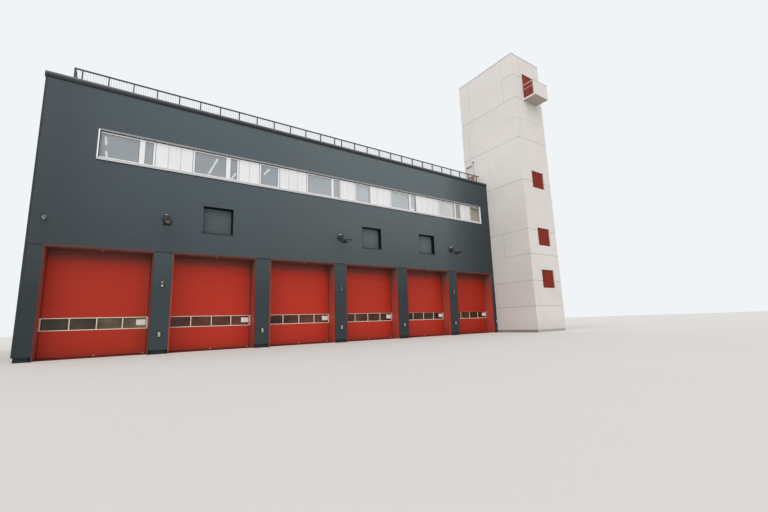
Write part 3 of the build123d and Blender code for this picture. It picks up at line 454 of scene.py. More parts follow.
class Recipe(Nodes):
    """The node tree of one finish."""

    def __init__(self, name):
        self.material = bpy.data.materials.new(name)
        self.material.use_nodes = True
        super().__init__(self.material.node_tree)
        self.place = self.add("ShaderNodeTexCoord", out="Object")
        self.x, self.y, self.z = (self.add("ShaderNodeSeparateXYZ", {}, [self.place], axis) for axis in "XYZ")

    def noise(self, scale, detail=3.0, stretch=None, rough=0.55):
        """Soft random values from 0 to 1; stretch multiplies each axis of the place."""
        place = self.place
        if stretch:
            place = self.add("ShaderNodeVectorMath", {"operation": "MULTIPLY"}, [place, stretch])
        values = {"Vector": place, "Scale": scale, "Detail": detail, "Roughness": rough}
        return self.add("ShaderNodeTexNoise", {}, values, "Fac")

    def between(self, value, low, high, start=0.0, end=1.0):
        """A smooth step from start to end while value goes from low to high."""
        values = {"Value": value, 1: low, 2: high, 3: start, 4: end}
        return self.add("ShaderNodeMapRange", {"interpolation_type": "SMOOTHSTEP"}, values)

    def line(self, value, points):
        """Straight lines through (value, height) points, level beyond the ends."""
        height = points[0][1]
        for (low, start), (high, end) in zip(points, points[1:]):
            values = {"Value": value, 1: low, 2: high, 3: 0.0, 4: end - start}
            height = self.add("ShaderNodeMapRange", {}, values) + height
        return height

    def facing(self, axis):
        """How far the surface faces along X, Y or Z, from -1 to 1."""
        normal = self.add("ShaderNodeNewGeometry", out="Normal")
        return self.add("ShaderNodeSeparateXYZ", {}, [normal], axis)

    def on_face(self, axis, factor):
        """The factor on faces that look down the axis, and 1 elsewhere."""
        return (factor - 1) * (self.facing(axis) < -0.5) + 1

    def mix(self, factor, first, second):
        """The first colour, going over to the second as factor goes to 1."""
        return self.add("ShaderNodeMix", {"data_type": "RGBA"}, {0: factor, 6: first, 7: second}, 2)

    def dim(self, tint, factor):
        """A colour made lighter or darker by a factor."""
        return self.add("ShaderNodeVectorMath", {"operation": "SCALE"}, {0: tint, "Scale": factor})

    def bumps(self, height, distance, strength):
        """A surface pattern of that height in metres."""
        return self.add("ShaderNodeBump", {}, {"Height": height, "Distance": distance, "Strength": strength})

    def bay(self):
        """Distance from the left side of the bay's opening."""
        return (self.x - BAY_START) % BAY_PITCH

    def dusty(self, body, amount):
        """The colour under dust that gathers in runs."""
        runs = self.noise(6.0, 4.0, (1.0, 1.0, 0.12))
        return self.mix(self.between(runs, 0.45, 0.80, 0.0, amount), body, DUST)

    def trowelled(self, fine):
        """The tone of smoothed concrete: broad clouds and a fine grain."""
        return self.noise(0.8, 5.0) * 0.22 + fine * 0.14 + 0.80

    def road_dirt(self, amount):
        """Dirt thrown up from the ground, gone at knee height."""
        return self.between(self.z + self.noise(5.0, 4.0) * 0.35, 0.10, 0.70, amount, 0.0)

    def surface(self, body, rough, gloss=0.5, bump=None, glow=None, **more):
        """The shader itself."""
        values = {"Base Color": body, "Roughness": rough, "Specular IOR Level": gloss, **more}
        if bump:
            values["Normal"] = bump
        if glow:
            values.update({"Emission Color": body, "Emission Strength": glow})
        self.close("ShaderNodeOutputMaterial", self.add("ShaderNodeBsdfPrincipled", {}, values))
        return self.material


def sheet_finish(name, tint):
    """Matt coated sheet: long flat clouds, with painted light and shade; the sheet is darker lower down, the
    front palest high in its middle and darker towards its ends.
    """
    recipe = Recipe(name)
    cloud = recipe.noise(0.22, 2.0) * 0.12 + recipe.noise(26.0, 4.0) * 0.04
    cloud = cloud + recipe.noise(1.6, 4.0, (0.22, 0.22, 2.4)) * 0.12 + 0.86
    # Painted light and shade: SHEET_LOW changes the front low down over the doors, SHEET_ALONG changes it
    # along its length, SHEET_RISE lightens the sheet with height.
    low = recipe.between(recipe.z, 5.2, 7.4, 1.0, 0.0) * recipe.line(recipe.x, SHEET_LOW)
    along = recipe.on_face("Y", recipe.line(recipe.x, SHEET_ALONG) * (1 - low))
    tone = cloud * recipe.line(recipe.z, SHEET_RISE) * along
    cool, warm = (tuple(np.multiply(tint, share)) for share in (SHEET_COOL, SHEET_WARM))
    body = recipe.dim(recipe.mix(recipe.line(recipe.x, SHEET_HUE), cool, warm), tone)
    rough = recipe.noise(1.4) * 0.12 + 0.40
    return recipe.surface(body, rough, 0.40, recipe.bumps(recipe.noise(420.0, 2.0), 0.0004, 0.4))


def pier_finish(name, tint):
    """Smooth coated panels between the doors, with painted shade: darker lower down, and lighter or darker
    along the front.
    """
    recipe = Recipe(name)
    cloud = recipe.noise(0.5)
    tone = cloud * 0.10 + recipe.noise(5.0, 4.0, (1.0, 1.0, 0.08)) * 0.06 + 0.92
    # Painted light and shade: PIER_RISE darkens the panels lower down, PIER_ALONG changes them along the
    # front.
    tone = tone * recipe.line(recipe.z, PIER_RISE) * recipe.line(recipe.x, PIER_ALONG)
    bump = recipe.bumps(recipe.noise(420.0, 2.0), 0.0004, 0.4)
    return recipe.surface(recipe.dim(tint, tone), cloud * 0.1 + 0.38, 0.32, bump)


def joint_mask(recipe):
    """Near 1 inside the tower's panel joints, less in the upright ones, 0 elsewhere."""
    half = 0.015
    mask = recipe.z * 0
    for level in TOWER_LEVELS:
        mask = mask + (abs(recipe.z - level) < half)
    for level, side in TOWER_HALF_LEVELS:
        mask = mask + (abs(recipe.z - level) < half) * (recipe.y < side + half)
    for place, low, high in TOWER_UPRIGHTS:
        mask = mask + (abs(recipe.y - place) < half) * ((recipe.z > low) * (recipe.z < high)) * 0.55
    return mask


def concrete_finish(name, tint, stain):
    """Smooth precast: panels differ a little, with clouds, pores and dark joints; painted shade on faces that
    look down, and painted light and shade up the left face.
    """
    recipe = Recipe(name)
    tone = recipe.noise(0.55, 5.0) * 0.16 + 0.92
    for number, level in enumerate(TOWER_LEVELS):
        tone = tone + (recipe.z > level) * (0.022 if number % 2 else -0.018)
    fine = recipe.noise(7.0, 6.0, rough=0.65)
    grit = recipe.noise(60.0, 4.0, rough=0.7)
    tone = tone + fine * 0.10 + grit * 0.05 - 0.075
    cells = {"Vector": recipe.place, "Scale": 9.0}
    pores = recipe.add("ShaderNodeTexVoronoi", {"feature": "F1"}, cells, "Distance")
    pore = recipe.between(pores, 0.02, 0.07, 1.0, 0.0)
    runs = recipe.noise(1.7, 5.0, (1.0, 1.0, 0.10), 0.6)
    stained = recipe.between(runs, 0.56, 0.86, 0.0, 0.30) + recipe.between(recipe.z, 0.1, 1.4, 0.24, 0.0)
    # Painted shade: faces that look down are mixed towards the stain colour.
    under = recipe.between(recipe.facing("Z"), -0.9, -0.5, 0.75, 0.0)
    # Painted light and shade: the left face is lighter higher up, after TOWER_RISE.
    tone = (tone - pore * 0.2) * recipe.on_face("X", recipe.line(recipe.z, TOWER_RISE))
    body = recipe.dim(tint, tone * (1 - joint_mask(recipe) * 0.45))
    bump = recipe.bumps(fine * 0.5 + grit * 0.35 - pore * 0.8, 0.004, 0.45)
    return recipe.surface(recipe.mix(stained + under, body, stain), fine * 0.12 + 0.78, 0.3, bump)


def door_finish(name, tint, gloss, along=((0.0, 1.0),), head=30.0, edge=0.0):
    """Coated red steel: stucco grain, slight fade, road dirt, with painted shade under the head and beside
    the right reveal, and painted light near the left side and along the front.
    """
    recipe = Recipe(name)
    wash = recipe.noise(3.0, 4.0, (1.0, 1.0, 0.10)) * 0.08 - 0.04
    # Painted light: along changes the leaves' brightness along the front.
    tone = (recipe.noise(0.35, 2.0) * 0.16 + 0.93 + wash) * recipe.line(recipe.x, along)
    # Painted light near the opening's left side, where the pier shades the leaf.
    if edge:
        tone = tone * (recipe.line(recipe.bay(), LEAF_EDGE) * recipe.line(recipe.x, LEAF_EDGE_ALONG) + 1)
    dirt = recipe.road_dirt(0.28)
    body = recipe.mix(dirt, recipe.dim(tint, tone), ROAD_DIRT)
    # Painted shade under the head.
    shaded = recipe.between(recipe.z, head - 0.75, head - 0.15, 0.0, 0.66)
    body = recipe.mix(shaded, body, (0.055, 0.052, 0.042))
    # Painted shade beside the right reveal: a duller, darker red.
    body = recipe.mix(recipe.between(recipe.bay(), 3.7, 4.15, 0.0, edge), body, (0.19, 0.060, 0.040))
    rough = recipe.noise(2.0) * 0.14 + 0.36 + dirt * 0.3
    bump = recipe.bumps(recipe.noise(95.0, 2.0, (1.0, 1.0, 0.6)), 0.0009, 0.5)
    return recipe.surface(body, rough, gloss, bump)


def lining_finish(name, tint, head):
    """Door reveals: bright red to the sides, greyer overhead and on the head's face, with painted light and
    shade.
    """
    recipe = Recipe(name)
    to_front, to_right = recipe.facing("Y") < -0.5, recipe.facing("X") > 0.5
    # Painted light: reveals facing -X lit brighter along the front and up them, reveals facing +X brighter by
    # a fixed share.
    sides = recipe.on_face("X", recipe.line(recipe.x, LINING_ALONG) * recipe.line(recipe.z, LINING_RISE))
    body = recipe.dim(tint, (recipe.noise(0.9) * 0.12 + 0.94) * (sides + to_right * 0.75))
    # Painted shade: greyer towards the head.
    body = recipe.mix(recipe.between(recipe.z, head - 1.65, head - 0.1, 0.0, 0.65), body, (0.09, 0.125, 0.11))
    # Painted light: the first door's left reveal paler.
    body = recipe.mix(to_right * (recipe.x < -14.4), body, (0.40, 0.08, 0.058))
    # Painted shade on the lips: darker in each opening's right half; LINING_FRONT paints their light along
    # the front.
    right_lip = (recipe.bay() > 2.0) * 0.55
    lip = recipe.dim((0.16, 0.030, 0.019), recipe.line(recipe.x, LINING_FRONT) * (1 - right_lip))
    lip = recipe.mix(recipe.x < -10.2, lip, (0.085, 0.036, 0.034))
    # Painted shade: the lips greyer towards the head.
    lip = recipe.mix(recipe.between(recipe.z, head - 2.4, head - 0.9, 0.0, 0.55), lip, (0.12, 0.055, 0.045))
    body = recipe.mix(to_front, body, lip)
    body = recipe.mix((recipe.z > head - 0.07) * to_front, body, (0.105, 0.031, 0.024))
    # Painted shade: faces that look down take a duller colour.
    body = recipe.mix(recipe.facing("Z") < -0.5, body, (0.135, 0.068, 0.048))
    body = recipe.mix(recipe.road_dirt(0.22), body, ROAD_DIRT)
    return recipe.surface(body, 0.45, 0.16, recipe.bumps(recipe.noise(95.0, 2.0), 0.0006, 0.4))


def enamel_finish(name, tint, roughness, dirty, gloss=0.5, grain=240.0, levels=None, cap=None):
    """Plain coated metal or plastic with faint dust; levels paint light and shade up Z, cap greys its front.
    """
    recipe = Recipe(name)
    cloud = recipe.noise(1.3, 4.0)
    body = recipe.dusty(recipe.dim(tint, cloud * 0.08 + 0.955), dirty)
    if levels:
        # Painted light and shade with height.
        body = recipe.dim(body, recipe.line(recipe.z, levels))
    if cap:
        body = recipe.mix(recipe.y < cap, body, (0.62, 0.60, 0.57))
    bump = recipe.bumps(recipe.noise(grain, 2.0), 0.0003, 0.35)
    return recipe.surface(body, cloud * 0.12 + (roughness - 0.06), gloss, bump)


def panel_finish(name, tint):
    """White infill panels: a fine upright reed and a tone of its own each, with painted shade on the front
    towards the tower.
    """
    recipe = Recipe(name)
    panel, reed = 0.586, 0.1465
    cell = recipe.add("ShaderNodeMath", {"operation": "FLOOR"}, [(recipe.x + recipe.y) / panel])
    own = recipe.add("ShaderNodeTexWhiteNoise", {"noise_dimensions": "1D"}, {"W": cell}, "Value")
    runs = recipe.noise(7.0, 4.0, (1.0, 1.0, 0.10))
    # Painted shade: the front darker towards the tower.
    along = recipe.on_face("Y", recipe.line(recipe.x, PANEL_ALONG))
    body = recipe.dim(tint, (own * 0.05 + 0.95 + runs * 0.05 - 0.03) * along)
    place = recipe.x * abs(recipe.facing("Y")) + recipe.y * abs(recipe.facing("X"))
    face = recipe.between(abs((place % reed) - reed / 2), 0.0, 0.006)
    body = recipe.mix((1 - face) * 0.22, body, (0.40, 0.41, 0.43))
    return recipe.surface(body, 0.42, bump=recipe.bumps(face, 0.002, 0.6))


def leaf_frame_finish(name, tint, red):
    """Cream frames of the doors' glazing, red along their outer edges like the leaf."""
    recipe = Recipe(name)
    above = recipe.z - recipe.line(recipe.x, LEAF_TOP_BAR) > 0.0
    body = recipe.mix(above + (recipe.z < 1.255), recipe.dusty(tint, 0.18), red)
    return recipe.surface(body, 0.38, 0.4, recipe.bumps(recipe.noise(240.0, 2.0), 0.0003, 0.35))


def pane_finish(name, tint):
    """Glass with a faint haze, paler towards the tower with painted light, and clear before the last blind.
    """
    recipe = Recipe(name)
    cloud = recipe.noise(0.8, 3.0, (1.0, 1.0, 1.6)) * 0.24 + 0.88
    body = recipe.mix(recipe.line(recipe.x, PANE_GREY), tint, (0.47, 0.475, 0.465))
    # Painted light: the front panes paler along the front.
    body = recipe.dim(body, cloud * recipe.on_face("Y", recipe.line(recipe.x, PANE_ALONG)))
    return recipe.surface(body, 0.03, 0.75, IOR=1.52, Alpha=recipe.line(recipe.x, LAST_PANE))


def door_pane_finish(name, tint, warm):
    """Dark door glass, olive in the first door and brown in the others, with painted light along the front.
    """
    recipe = Recipe(name)
    cloud = recipe.noise(0.9, 4.0, (1.0, 1.0, 1.3))
    # Painted light: DOOR_PANE_ALONG changes the panes' brightness along the front.
    tone = recipe.between(cloud, 0.30, 0.70, 0.45, 1.55) * recipe.line(recipe.x, DOOR_PANE_ALONG)
    body = recipe.dim(recipe.mix(recipe.between(recipe.x, -10.2, -9.6), tint, warm), tone)
    return recipe.surface(body, 0.06, 0.27, IOR=1.52, Alpha=0.86)


def membrane_finish(name, tint):
    """Roof sheet laid in one metre strips, with lapped seams and dull patches."""
    recipe = Recipe(name)
    seam = recipe.between(abs((recipe.y % 1.0) - 0.5), 0.0, 0.03, 1.0, 0.0)
    patch = recipe.between(recipe.noise(0.45, 4.0), 0.45, 0.65, 0.0, 0.30)
    grit = recipe.noise(160.0)
    body = recipe.mix(patch, recipe.dim(tint, grit * 0.35 + 0.82 - seam * 0.18), (0.16, 0.155, 0.14))
    return recipe.surface(body, 0.9, bump=recipe.bumps(grit * 0.3 + seam, 0.004, 0.5))


def slab_finish(name, tint, front=1.0, gloss=0.5):
    """Trowelled concrete with traffic marks; front multiplies the faces that look to the front, painted light
    where it is above 1.
    """
    recipe = Recipe(name)
    fine = recipe.noise(22.0, 5.0)
    # Painted light on faces that look to the front, by the front factor.
    body = recipe.dim(tint, recipe.trowelled(fine) * recipe.on_face("Y", front))
    return recipe.surface(body, fine * 0.2 + 0.65, gloss, recipe.bumps(fine, 0.002, 0.5))


def sill_finish(name, tint):
    """Sloped sill: pale outside, then a dark tread that reddens at the foot of the door; the paleness is
    painted light, the tread painted shade, the red a painted reflection of the door.
    """
    recipe = Recipe(name)
    tone = recipe.trowelled(recipe.noise(22.0, 5.0))
    # Painted shade: the dark tread before the door.
    tread = recipe.between(recipe.y, SILL_BACK - 0.76, SILL_BACK - 0.62)
    # Painted reflection: the door's red on the sill at its foot.
    foot = recipe.between(recipe.y, SILL_BACK - 0.45, SILL_BACK - 0.28)
    body = recipe.mix(tread, recipe.dim(tint, tone), recipe.dim((0.050, 0.026, 0.019), tone))
    return recipe.surface(recipe.mix(foot, body, (0.17, 0.030, 0.020)), 0.7, 0.1)


def flashing_finish(name, tint):
    """Head flashing: red over each bay door, the trim's colour between them."""
    recipe = Recipe(name)
    body = recipe.mix(recipe.bay() < BAY_WIDTH, tint, (0.15, 0.040, 0.030))
    return recipe.surface(recipe.dim(body, recipe.noise(95.0, 2.0) * 0.08 + 0.95), 0.45, 0.2)


def lens_finish(name, upper, lower, level):
    """Lenses of the door signals: one colour above a level, another below, dimmed further along the front
    with painted shade.
    """
    recipe = Recipe(name)
    # Painted shade: LENS_ALONG dims the lenses to half further along the front.
    body = recipe.dim(recipe.mix(recipe.z > level, lower, upper), recipe.line(recipe.x, LENS_ALONG))
    return recipe.surface(body, 0.12, glow=0.03)


def glow_finish(name, tint, strength):
    """A ceiling light that is switched on."""
    recipe = Recipe(name)
    return recipe.surface(recipe.dim(tint, recipe.noise(4.0, 2.0) * 0.06 + 0.95), 0.4, glow=strength)


def roof_door_finish(name, tint):
    """Red door with painted shade and light: darker at its hinge side and paler towards its lock."""
    recipe = Recipe(name)
    # Painted light: paler towards the lock and on the side panel.
    pale = recipe.line(recipe.y - ROOF_DOOR_NEAR, ROOF_DOOR_PALE)
    grain = recipe.noise(60.0)
    body = recipe.mix(pale, recipe.dim(tint, grain * 0.1 + 0.95), (0.85, 0.48, 0.49))
    return recipe.surface(body, 0.42, bump=recipe.bumps(grain, 0.001, 0.3))


FINISHES = {}
NODE_FINISHES = {
    "cladding": "front_wall_ side_walls_ rear_wall_ corner_piers",
    "pier": "front_piers call_boxes",
    "coping": "roof_coping_",
    "louvre": "louvres",
    "cap": "tower_coping",
    "foot": "tower_base",
    "concrete": "tower_front_wall tower_left_wall tower_right_wall tower_rear_wall balcony",
    "sill": "door_sills",
    "slab": "floor_slab upper_floor tower_floors",
    "membrane": "roof_deck tower_roof",
    "plinth": "plinth_",
    "door": "bay_door_",
    "lining": "door_linings",
    "panel_red": "tower_shutters",
    "balcony_red": "balcony_door",
    "roof_door": "roof_door",
    "cream": "door_window_frames",
    "white": "window_frames",
    "panel": "window_panels",
    "pane": "window_glass",
    "door_pane": "door_window_glass",
    "metal": "roof_railing_ signal_lamps door_sensors",
    "lamp": "floodlights",
    "faint": "roof_door_lamps",
    "rail": "balcony_rails",
    "lens": "signal_lenses",
    "camera": "security_camera",
}


class STATION_OT_finishes(bpy.types.Operator):
    """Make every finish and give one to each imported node."""

    bl_idname = "station.finishes"
    bl_label = "Finishes"

    def execute(self, context):
        tints = context.scene.station_colours
        lens_level = sum(corner[2] for corner in box_of("signal_lenses")) / 2
        enamels = {
            "cap": ("tower_cap", (0.62, 0.63, 0.63), 0.45, 0.10),
            # Near-black: painted shadow in the louvres' recesses.
            "reveal": ("louvre_reveal", (0.010, 0.014, 0.015), 0.8, 0.0, 0.05),
            # RAIL_RISE: a painted highlight along the rail's top.
            "rail": ("balcony_rail_paint", (0.50, 0.35, 0.31), 0.45, 0.05, 0.5, 240.0, RAIL_RISE, RAIL_CAP),
            "lamp": ("lamp_housing", (0.028, 0.034, 0.033), 0.5, 0.08, 0.3),
            "lamp_glass": ("lamp_glass", (0.27, 0.26, 0.225), 0.4, 0.10),
            "faint": ("conduit_grey", (0.42, 0.40, 0.38), 0.6, 0.10),
            "shadow": ("shadow_gap", (0.008, 0.009, 0.010), 0.8, 0.0, 0.05),
            "cassette": ("blind_cassette", (0.17, 0.155, 0.13), 0.7, 0.1),
            "trim": ("trim_paint", tints.trim, 0.42, 0.06, 0.3),
            "bottom_seal": ("bottom_seal_rubber", (0.045, 0.017, 0.011), 0.8, 0.0, 0.05),
            "pull": ("door_pull_metal", (0.60, 0.40, 0.34), 0.45, 0.05),
            # COPING_RISE: painted shade at the coping's foot and a painted highlight along its top.
            "coping": ("coping_paint", tints.trim, 0.42, 0.06, 0.3, 240.0, COPING_RISE),
            # Much paler than the coping: a painted highlight along its top edge.
            "fold": ("coping_fold", (0.15, 0.16, 0.16), 0.42, 0.06, 0.3),
            # BAND_RISE: painted shade on the sill's face and on the head strip.
            "white": ("window_frame_white", tints.white, 0.36, 0.08, 0.5, 240.0, BAND_RISE),
            "metal": ("dark_metal_paint", tints.metal, 0.5, 0.10),
            "zinc": ("galvanised", tints.zinc, 0.45, 0.20),
            "rubber": ("rubber", tints.rubber, 0.7, 0.10),
            # Dark grey: painted shadow beside the front panes.
            "edge": ("hinge_cover_grey", (0.09, 0.10, 0.105), 0.6, 0.05),
            # Dark brown: rubber, and painted shade beside the leaves.
            "side_seal": ("side_seal_rubber", (0.115, 0.034, 0.018), 0.8, 0.0, 0.1),
            # BLIND_RISE: painted shade on the blind's upper part, under its cassette.
            "sand": ("sand_blind", tints.sand, 0.8, 0.15, 0.5, 60.0, BLIND_RISE),
            "blind": ("white_blind", tints.blind, 0.8, 0.10, 0.5, 60.0),
            "plate": ("plate_white", tints.plate, 0.4, 0.10),
            "camera": ("camera_body", (0.20, 0.21, 0.22), 0.4, 0.10),
            "lid": ("lid_grey", (0.44, 0.45, 0.45), 0.45, 0.10),
        }
        FINISHES.update(
            {finish: enamel_finish(*settings) for finish, settings in enamels.items()},
            cladding=sheet_finish("cladding_paint", tints.cladding),
            # The louvre blades take the same painted light and shade as the cladding.
            louvre=sheet_finish("louvre_paint", tints.louvre),
            pier=pier_finish("pier_paint", tints.pier),
            lining=lining_finish("lining_paint", tints.lining, OPENING_TOP),
            door=door_finish("door_paint", tints.door, 0.24, LEAF_ALONG, OPENING_TOP, 0.30),
            panel_red=door_finish("tower_panel_paint", tints.panel_red, 0.10),
            balcony_red=door_finish("balcony_door_paint", (0.225, 0.026, 0.016), 0.16),
            roof_door=roof_door_finish("roof_door_paint", (0.30, 0.028, 0.022)),
            # Painted light: the tower foot's front 1.7 times brighter.
            foot=slab_finish("tower_foot", (0.26, 0.25, 0.235), 1.7),
            slab=slab_finish("floor_concrete", tints.slab),
            plinth=slab_finish("plinth_render", tints.plinth, 1.0, 0.15),
            # Paler than the floor: painted light against the shade of the opening.
            sill=sill_finish("sill_concrete", (0.80, 0.74, 0.69)),
            concrete=concrete_finish("precast", tints.concrete, tints.concrete_stain_and_shade),
            flashing=flashing_finish("head_flashing_paint", tints.trim),
            membrane=membrane_finish("roof_membrane", tints.membrane),
            cream=leaf_frame_finish("cream_frame_paint", tints.cream, tints.door),
            panel=panel_finish("infill_panel", tints.panel),
            pane=pane_finish("window_pane", tints.pane),
            door_pane=door_pane_finish("door_pane", tints.door_pane, tints.warm_pane),
            lens=lens_finish("signal_lens", tints.amber, tints.clear, lens_level),
            glow=glow_finish("ceiling_light", (1.0, 0.98, 0.95), 2.2),
        )
        for name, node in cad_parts.items():
            fitting = [
                finish
                for finish, starts in NODE_FINISHES.items()
                for start in starts.split()
                if name == start or (name.startswith(start) and start.endswith("_"))
            ]
            if not fitting:
                raise RuntimeError(f"no finish is given for {name}")
            node.data.materials.clear()
            node.data.materials.append(FINISHES[fitting[0]])
        return {"FINISHED"}


# Cladding

def rib_line(low, high, sizes):
    """Height and depth of the sheet's bends between two levels.

    Over each pitch the depth stays at the valley, slopes out, stays at the
    crest and slopes back; the ends are read off the same line.
    """
    pitch = sizes.rib_pitch
    first, last = math.floor(low / pitch), math.ceil(high / pitch)
    steps = np.arange(first, last + 1)[:, None] * pitch + np.array([0.0, 0.45, 0.5, 0.95]) * pitch
    crest = sizes.rib_base + sizes.rib_depth
    depths = np.tile([sizes.rib_base, sizes.rib_base, crest, crest], (len(steps), 1))
    steps, depths = steps.ravel(), depths.ravel()
    inside = (steps > low + 1e-4) & (steps < high - 1e-4)
    heights = np.concatenate(([low], steps[inside], [high]))
    return heights, np.interp(heights, steps, depths)


def ribbed_sheet(origin, along, out, span, low, high, sizes):
    """The sheet's bends carried along the wall over one stretch of it."""
    heights, depths = rib_line(low, high, sizes)
    outline = np.concatenate((np.stack((depths, heights), 1), [[0.0, high], [0.0, low]]))
    return run(outline, origin + along * span[0], origin + along * span[1], out)


def gaps_in(length_along, holes):
    """The stretches of a wall that are left beside its holes."""
    edges = [0.0] + [edge for hole in sorted(holes) for edge in hole] + [length_along]
    return [span for span in zip(edges[0::2], edges[1::2]) if span[1] - span[0] > 0.01]


class STATION_OT_cladding(bpy.types.Operator):
    """Ribbed sheets on the hall's four walls, with trims at corners and heads."""

    bl_idname = "station.cladding"
    bl_label = "Cladding"

    def execute(self, context):
        sizes = context.scene.station_sizes
        trim, flashing_lap, tower_wall = sizes.sheet_gap, 0.03, 0.2
        proud = sizes.rib_base + sizes.rib_depth + 0.003
        frames = islands("window_frames")
        beside = islands("front_wall_beside_louvres")
        louvre_holes = [(a[1][0] - LEFT, b[0][0] - LEFT) for a, b in zip(beside, beside[1:])]
        louvre_low, louvre_high = beside[0][0][2], beside[0][1][2]
        band_low, band_high = (corner[2] for corner in box_of("window_frames"))
        foot, top = box_of("rear_wall_lower")[0][2], box_of("roof_coping_sides")[0][2]
        tower_back = box_of("tower_left_wall")[1][1] + tower_wall - FRONT
        sheets, corners = [], []
        angle = [(-proud, -proud), (trim, -proud), (trim, 0), (0, 0), (0, trim), (-proud, trim)]
        for name, origin, along, out in WALLS:
            size = abs(Vector(WALLS_HIGH - WALLS_LOW).dot(along))
            start = tower_back if name == "right" else trim
            windows = [
                sorted((Vector(corner) - origin).dot(along) for corner in (low, high))
                for low, high in frames
                if abs((Vector((low + high) / 2) - origin).dot(out)) < 0.5
            ]
            rows = [(band_high, top, []), (band_low, band_high, windows)]
            if name == "front":
                rows += [(louvre_high, band_low, []), (louvre_low, louvre_high, louvre_holes)]
                rows += [(OPENING_TOP + flashing_lap, louvre_low, [])]
            else:
                rows += [(foot, band_low, [])]
            for low, high, holes in rows:
                for near, far in gaps_in(size, holes):
                    near, far = max(near, start), min(far, size - trim)
                    if far > near:
                        sheets.append(ribbed_sheet(origin, along, out, (near, far), low, high, sizes))
            if name != "right":
                upright = [Vector((origin.x, origin.y, level)) for level in (foot, top)]
                corners.append(run(angle, *upright, along, -out))
        piece("wall_cladding", sheets, "cladding")
        piece("corner_trims", corners, "trim")
        nose = proud + 0.006
        flashing = [(0, 0), (nose, 0), (nose, 0.005), (proud, 0.045), (0, 0.045)]
        ends = [(LEFT + trim, FRONT, OPENING_TOP), (RIGHT, FRONT, OPENING_TOP)]
        piece("door_head_flashing", [run(flashing, *ends, (0, -1, 0))], "flashing")
        return {"FINISHED"}


class STATION_OT_louvres(bpy.types.Operator):
    """Framed louvres of narrow bent blades, with near-black sheets round their reveals and a near-black top
    and right frame bar: painted shadow in the recess.

    A blade is one bent outline: an upright lip in front, then a slope that
    rises into the wall behind the lip of the blade above it.
    """

    bl_idname = "station.louvres"
    bl_label = "Louvres"

    def execute(self, context):
        blade_pitch = context.scene.station_sizes.blade_pitch
        slats, sills, reveals = [], [], []
        thick, front, sill_rise, frame_depth = 0.004, FRONT - 0.008, 0.05, 0.06
        for low, high in islands("louvres"):
            back, base, top = high[1] - LOUVRE_DEPTH, low[2], high[2]
            sill = ((low[1], base), (low[1], base + 0.026), (back, base + sill_rise), (back, base))
            sills.append(run(sill, (low[0], 0, 0), (high[0], 0, 0)))
            left, right = low[0] + LOUVRE_SILL_LAP, high[0] - LOUVRE_SILL_LAP
            corners = np.array((left, back, base)), np.array((right, high[1], top))
            # Bottom and left frame bars take the blades' finish; top and right bars are near-black, painted
            # shadow.
            for made, bars in ((slats, (0, 2)), (reveals, (1, 3))):
                made.append(rim(*corners, 1, -1, LOUVRE_FRAME, 0.0, -frame_depth, bars))
            foot, head = base + LOUVRE_FRAME, top - LOUVRE_FRAME
            count = round((head - foot) / blade_pitch)
            pitch = (head - foot) / count
            lip = pitch - 0.018
            bend = ((0.012, 0.0), (0.012, lip), (0.06, pitch + 0.03), (0.06, pitch + 0.026),
                    (0.015, lip - 0.001), (0.015, 0.0))
            last = ((0.012, 0.0), (0.012, pitch), (0.015, pitch), (0.015, 0.0))
            for number in range(count):
                level = foot + number * pitch
                ends = (left + LOUVRE_FRAME, back, level), (right - LOUVRE_FRAME, back, level)
                slats.append(run(bend if number < count - 1 else last, *ends))
            # Near-black sheets over the top and sides of the recess: painted shadow.
            for near, far, bottom, level in (
                (left, right, top - thick, top),
                (left, left + thick, base + sill_rise, top - thick),
                (right - thick, right, base + sill_rise, top - thick),
            ):
                reveals.append(boxes((near, front, bottom), (far, back, level)))
        blades = piece("louvre_blades", slats, "louvre")
        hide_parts("louvres")
        piece("louvre_reveals", reveals, "reveal")
        piece("louvre_sills", sills, "lamp")
        return {"FINISHED"}


class STATION_OT_roof_edge(bpy.types.Operator):
    """Membrane turned up the parapets, its clamping bar, and the coping's raised fold."""

    bl_idname = "station.roof_edge"
    bl_label = "Roof edge"

    def execute(self, context):
        deck_low, deck_high = box_of("roof_deck")
        level, upstand, bar = deck_high[2], 0.30, 0.04
        thick, lap, rise = 0.02, 0.01, 0.08
        near, far = (corner[1] for corner in box_of("roof_door"))
        sheets, bars = [], []
        for axis, way in ((0, 1), (0, -1), (1, 1), (1, -1)):
            side = 1 - axis
            edge = (deck_low if way > 0 else deck_high)[axis]
            spans = [(deck_low[side], deck_high[side])]
            if (axis, way) == (0, -1):
                spans = [(deck_low[1], near - 0.02), (far + 0.02, deck_high[1])]
            for start, end in spans:
                for made, depth, height in ((sheets, 0.006, upstand), (bars, 0.010, bar)):
                    low, high = np.empty(3), np.empty(3)
                    low[axis], high[axis] = sorted((edge, edge + way * depth))
                    low[side], high[side] = start, end
                    low[2], high[2] = level + upstand - height, level + upstand
                    made.append(boxes(low, high))
        west, east = (corner[0] for corner in box_of("roof_coping_sides"))
        (_, front, _), (_, rear, crest) = box_of("roof_coping_front_rear")
        tower_west, tower_rear = box_of("tower_left_wall")[0][0], box_of("tower_rear_wall")[1][1]
        folds = [
            boxes((*start, crest - lap), (*end, crest + rise))
            for start, end in (
                ((west, front), (tower_west, front + thick)),
                ((west, rear - thick), (east, rear)),
                ((west, front + thick), (west + thick, rear - thick)),
                ((east - thick, tower_rear), (east, rear - thick)),
            )
        ]
        piece("coping_folds", folds, "fold")
        piece("membrane_upstands", sheets, "membrane")
        piece("upstand_bars", bars, "zinc")
        return {"FINISHED"}


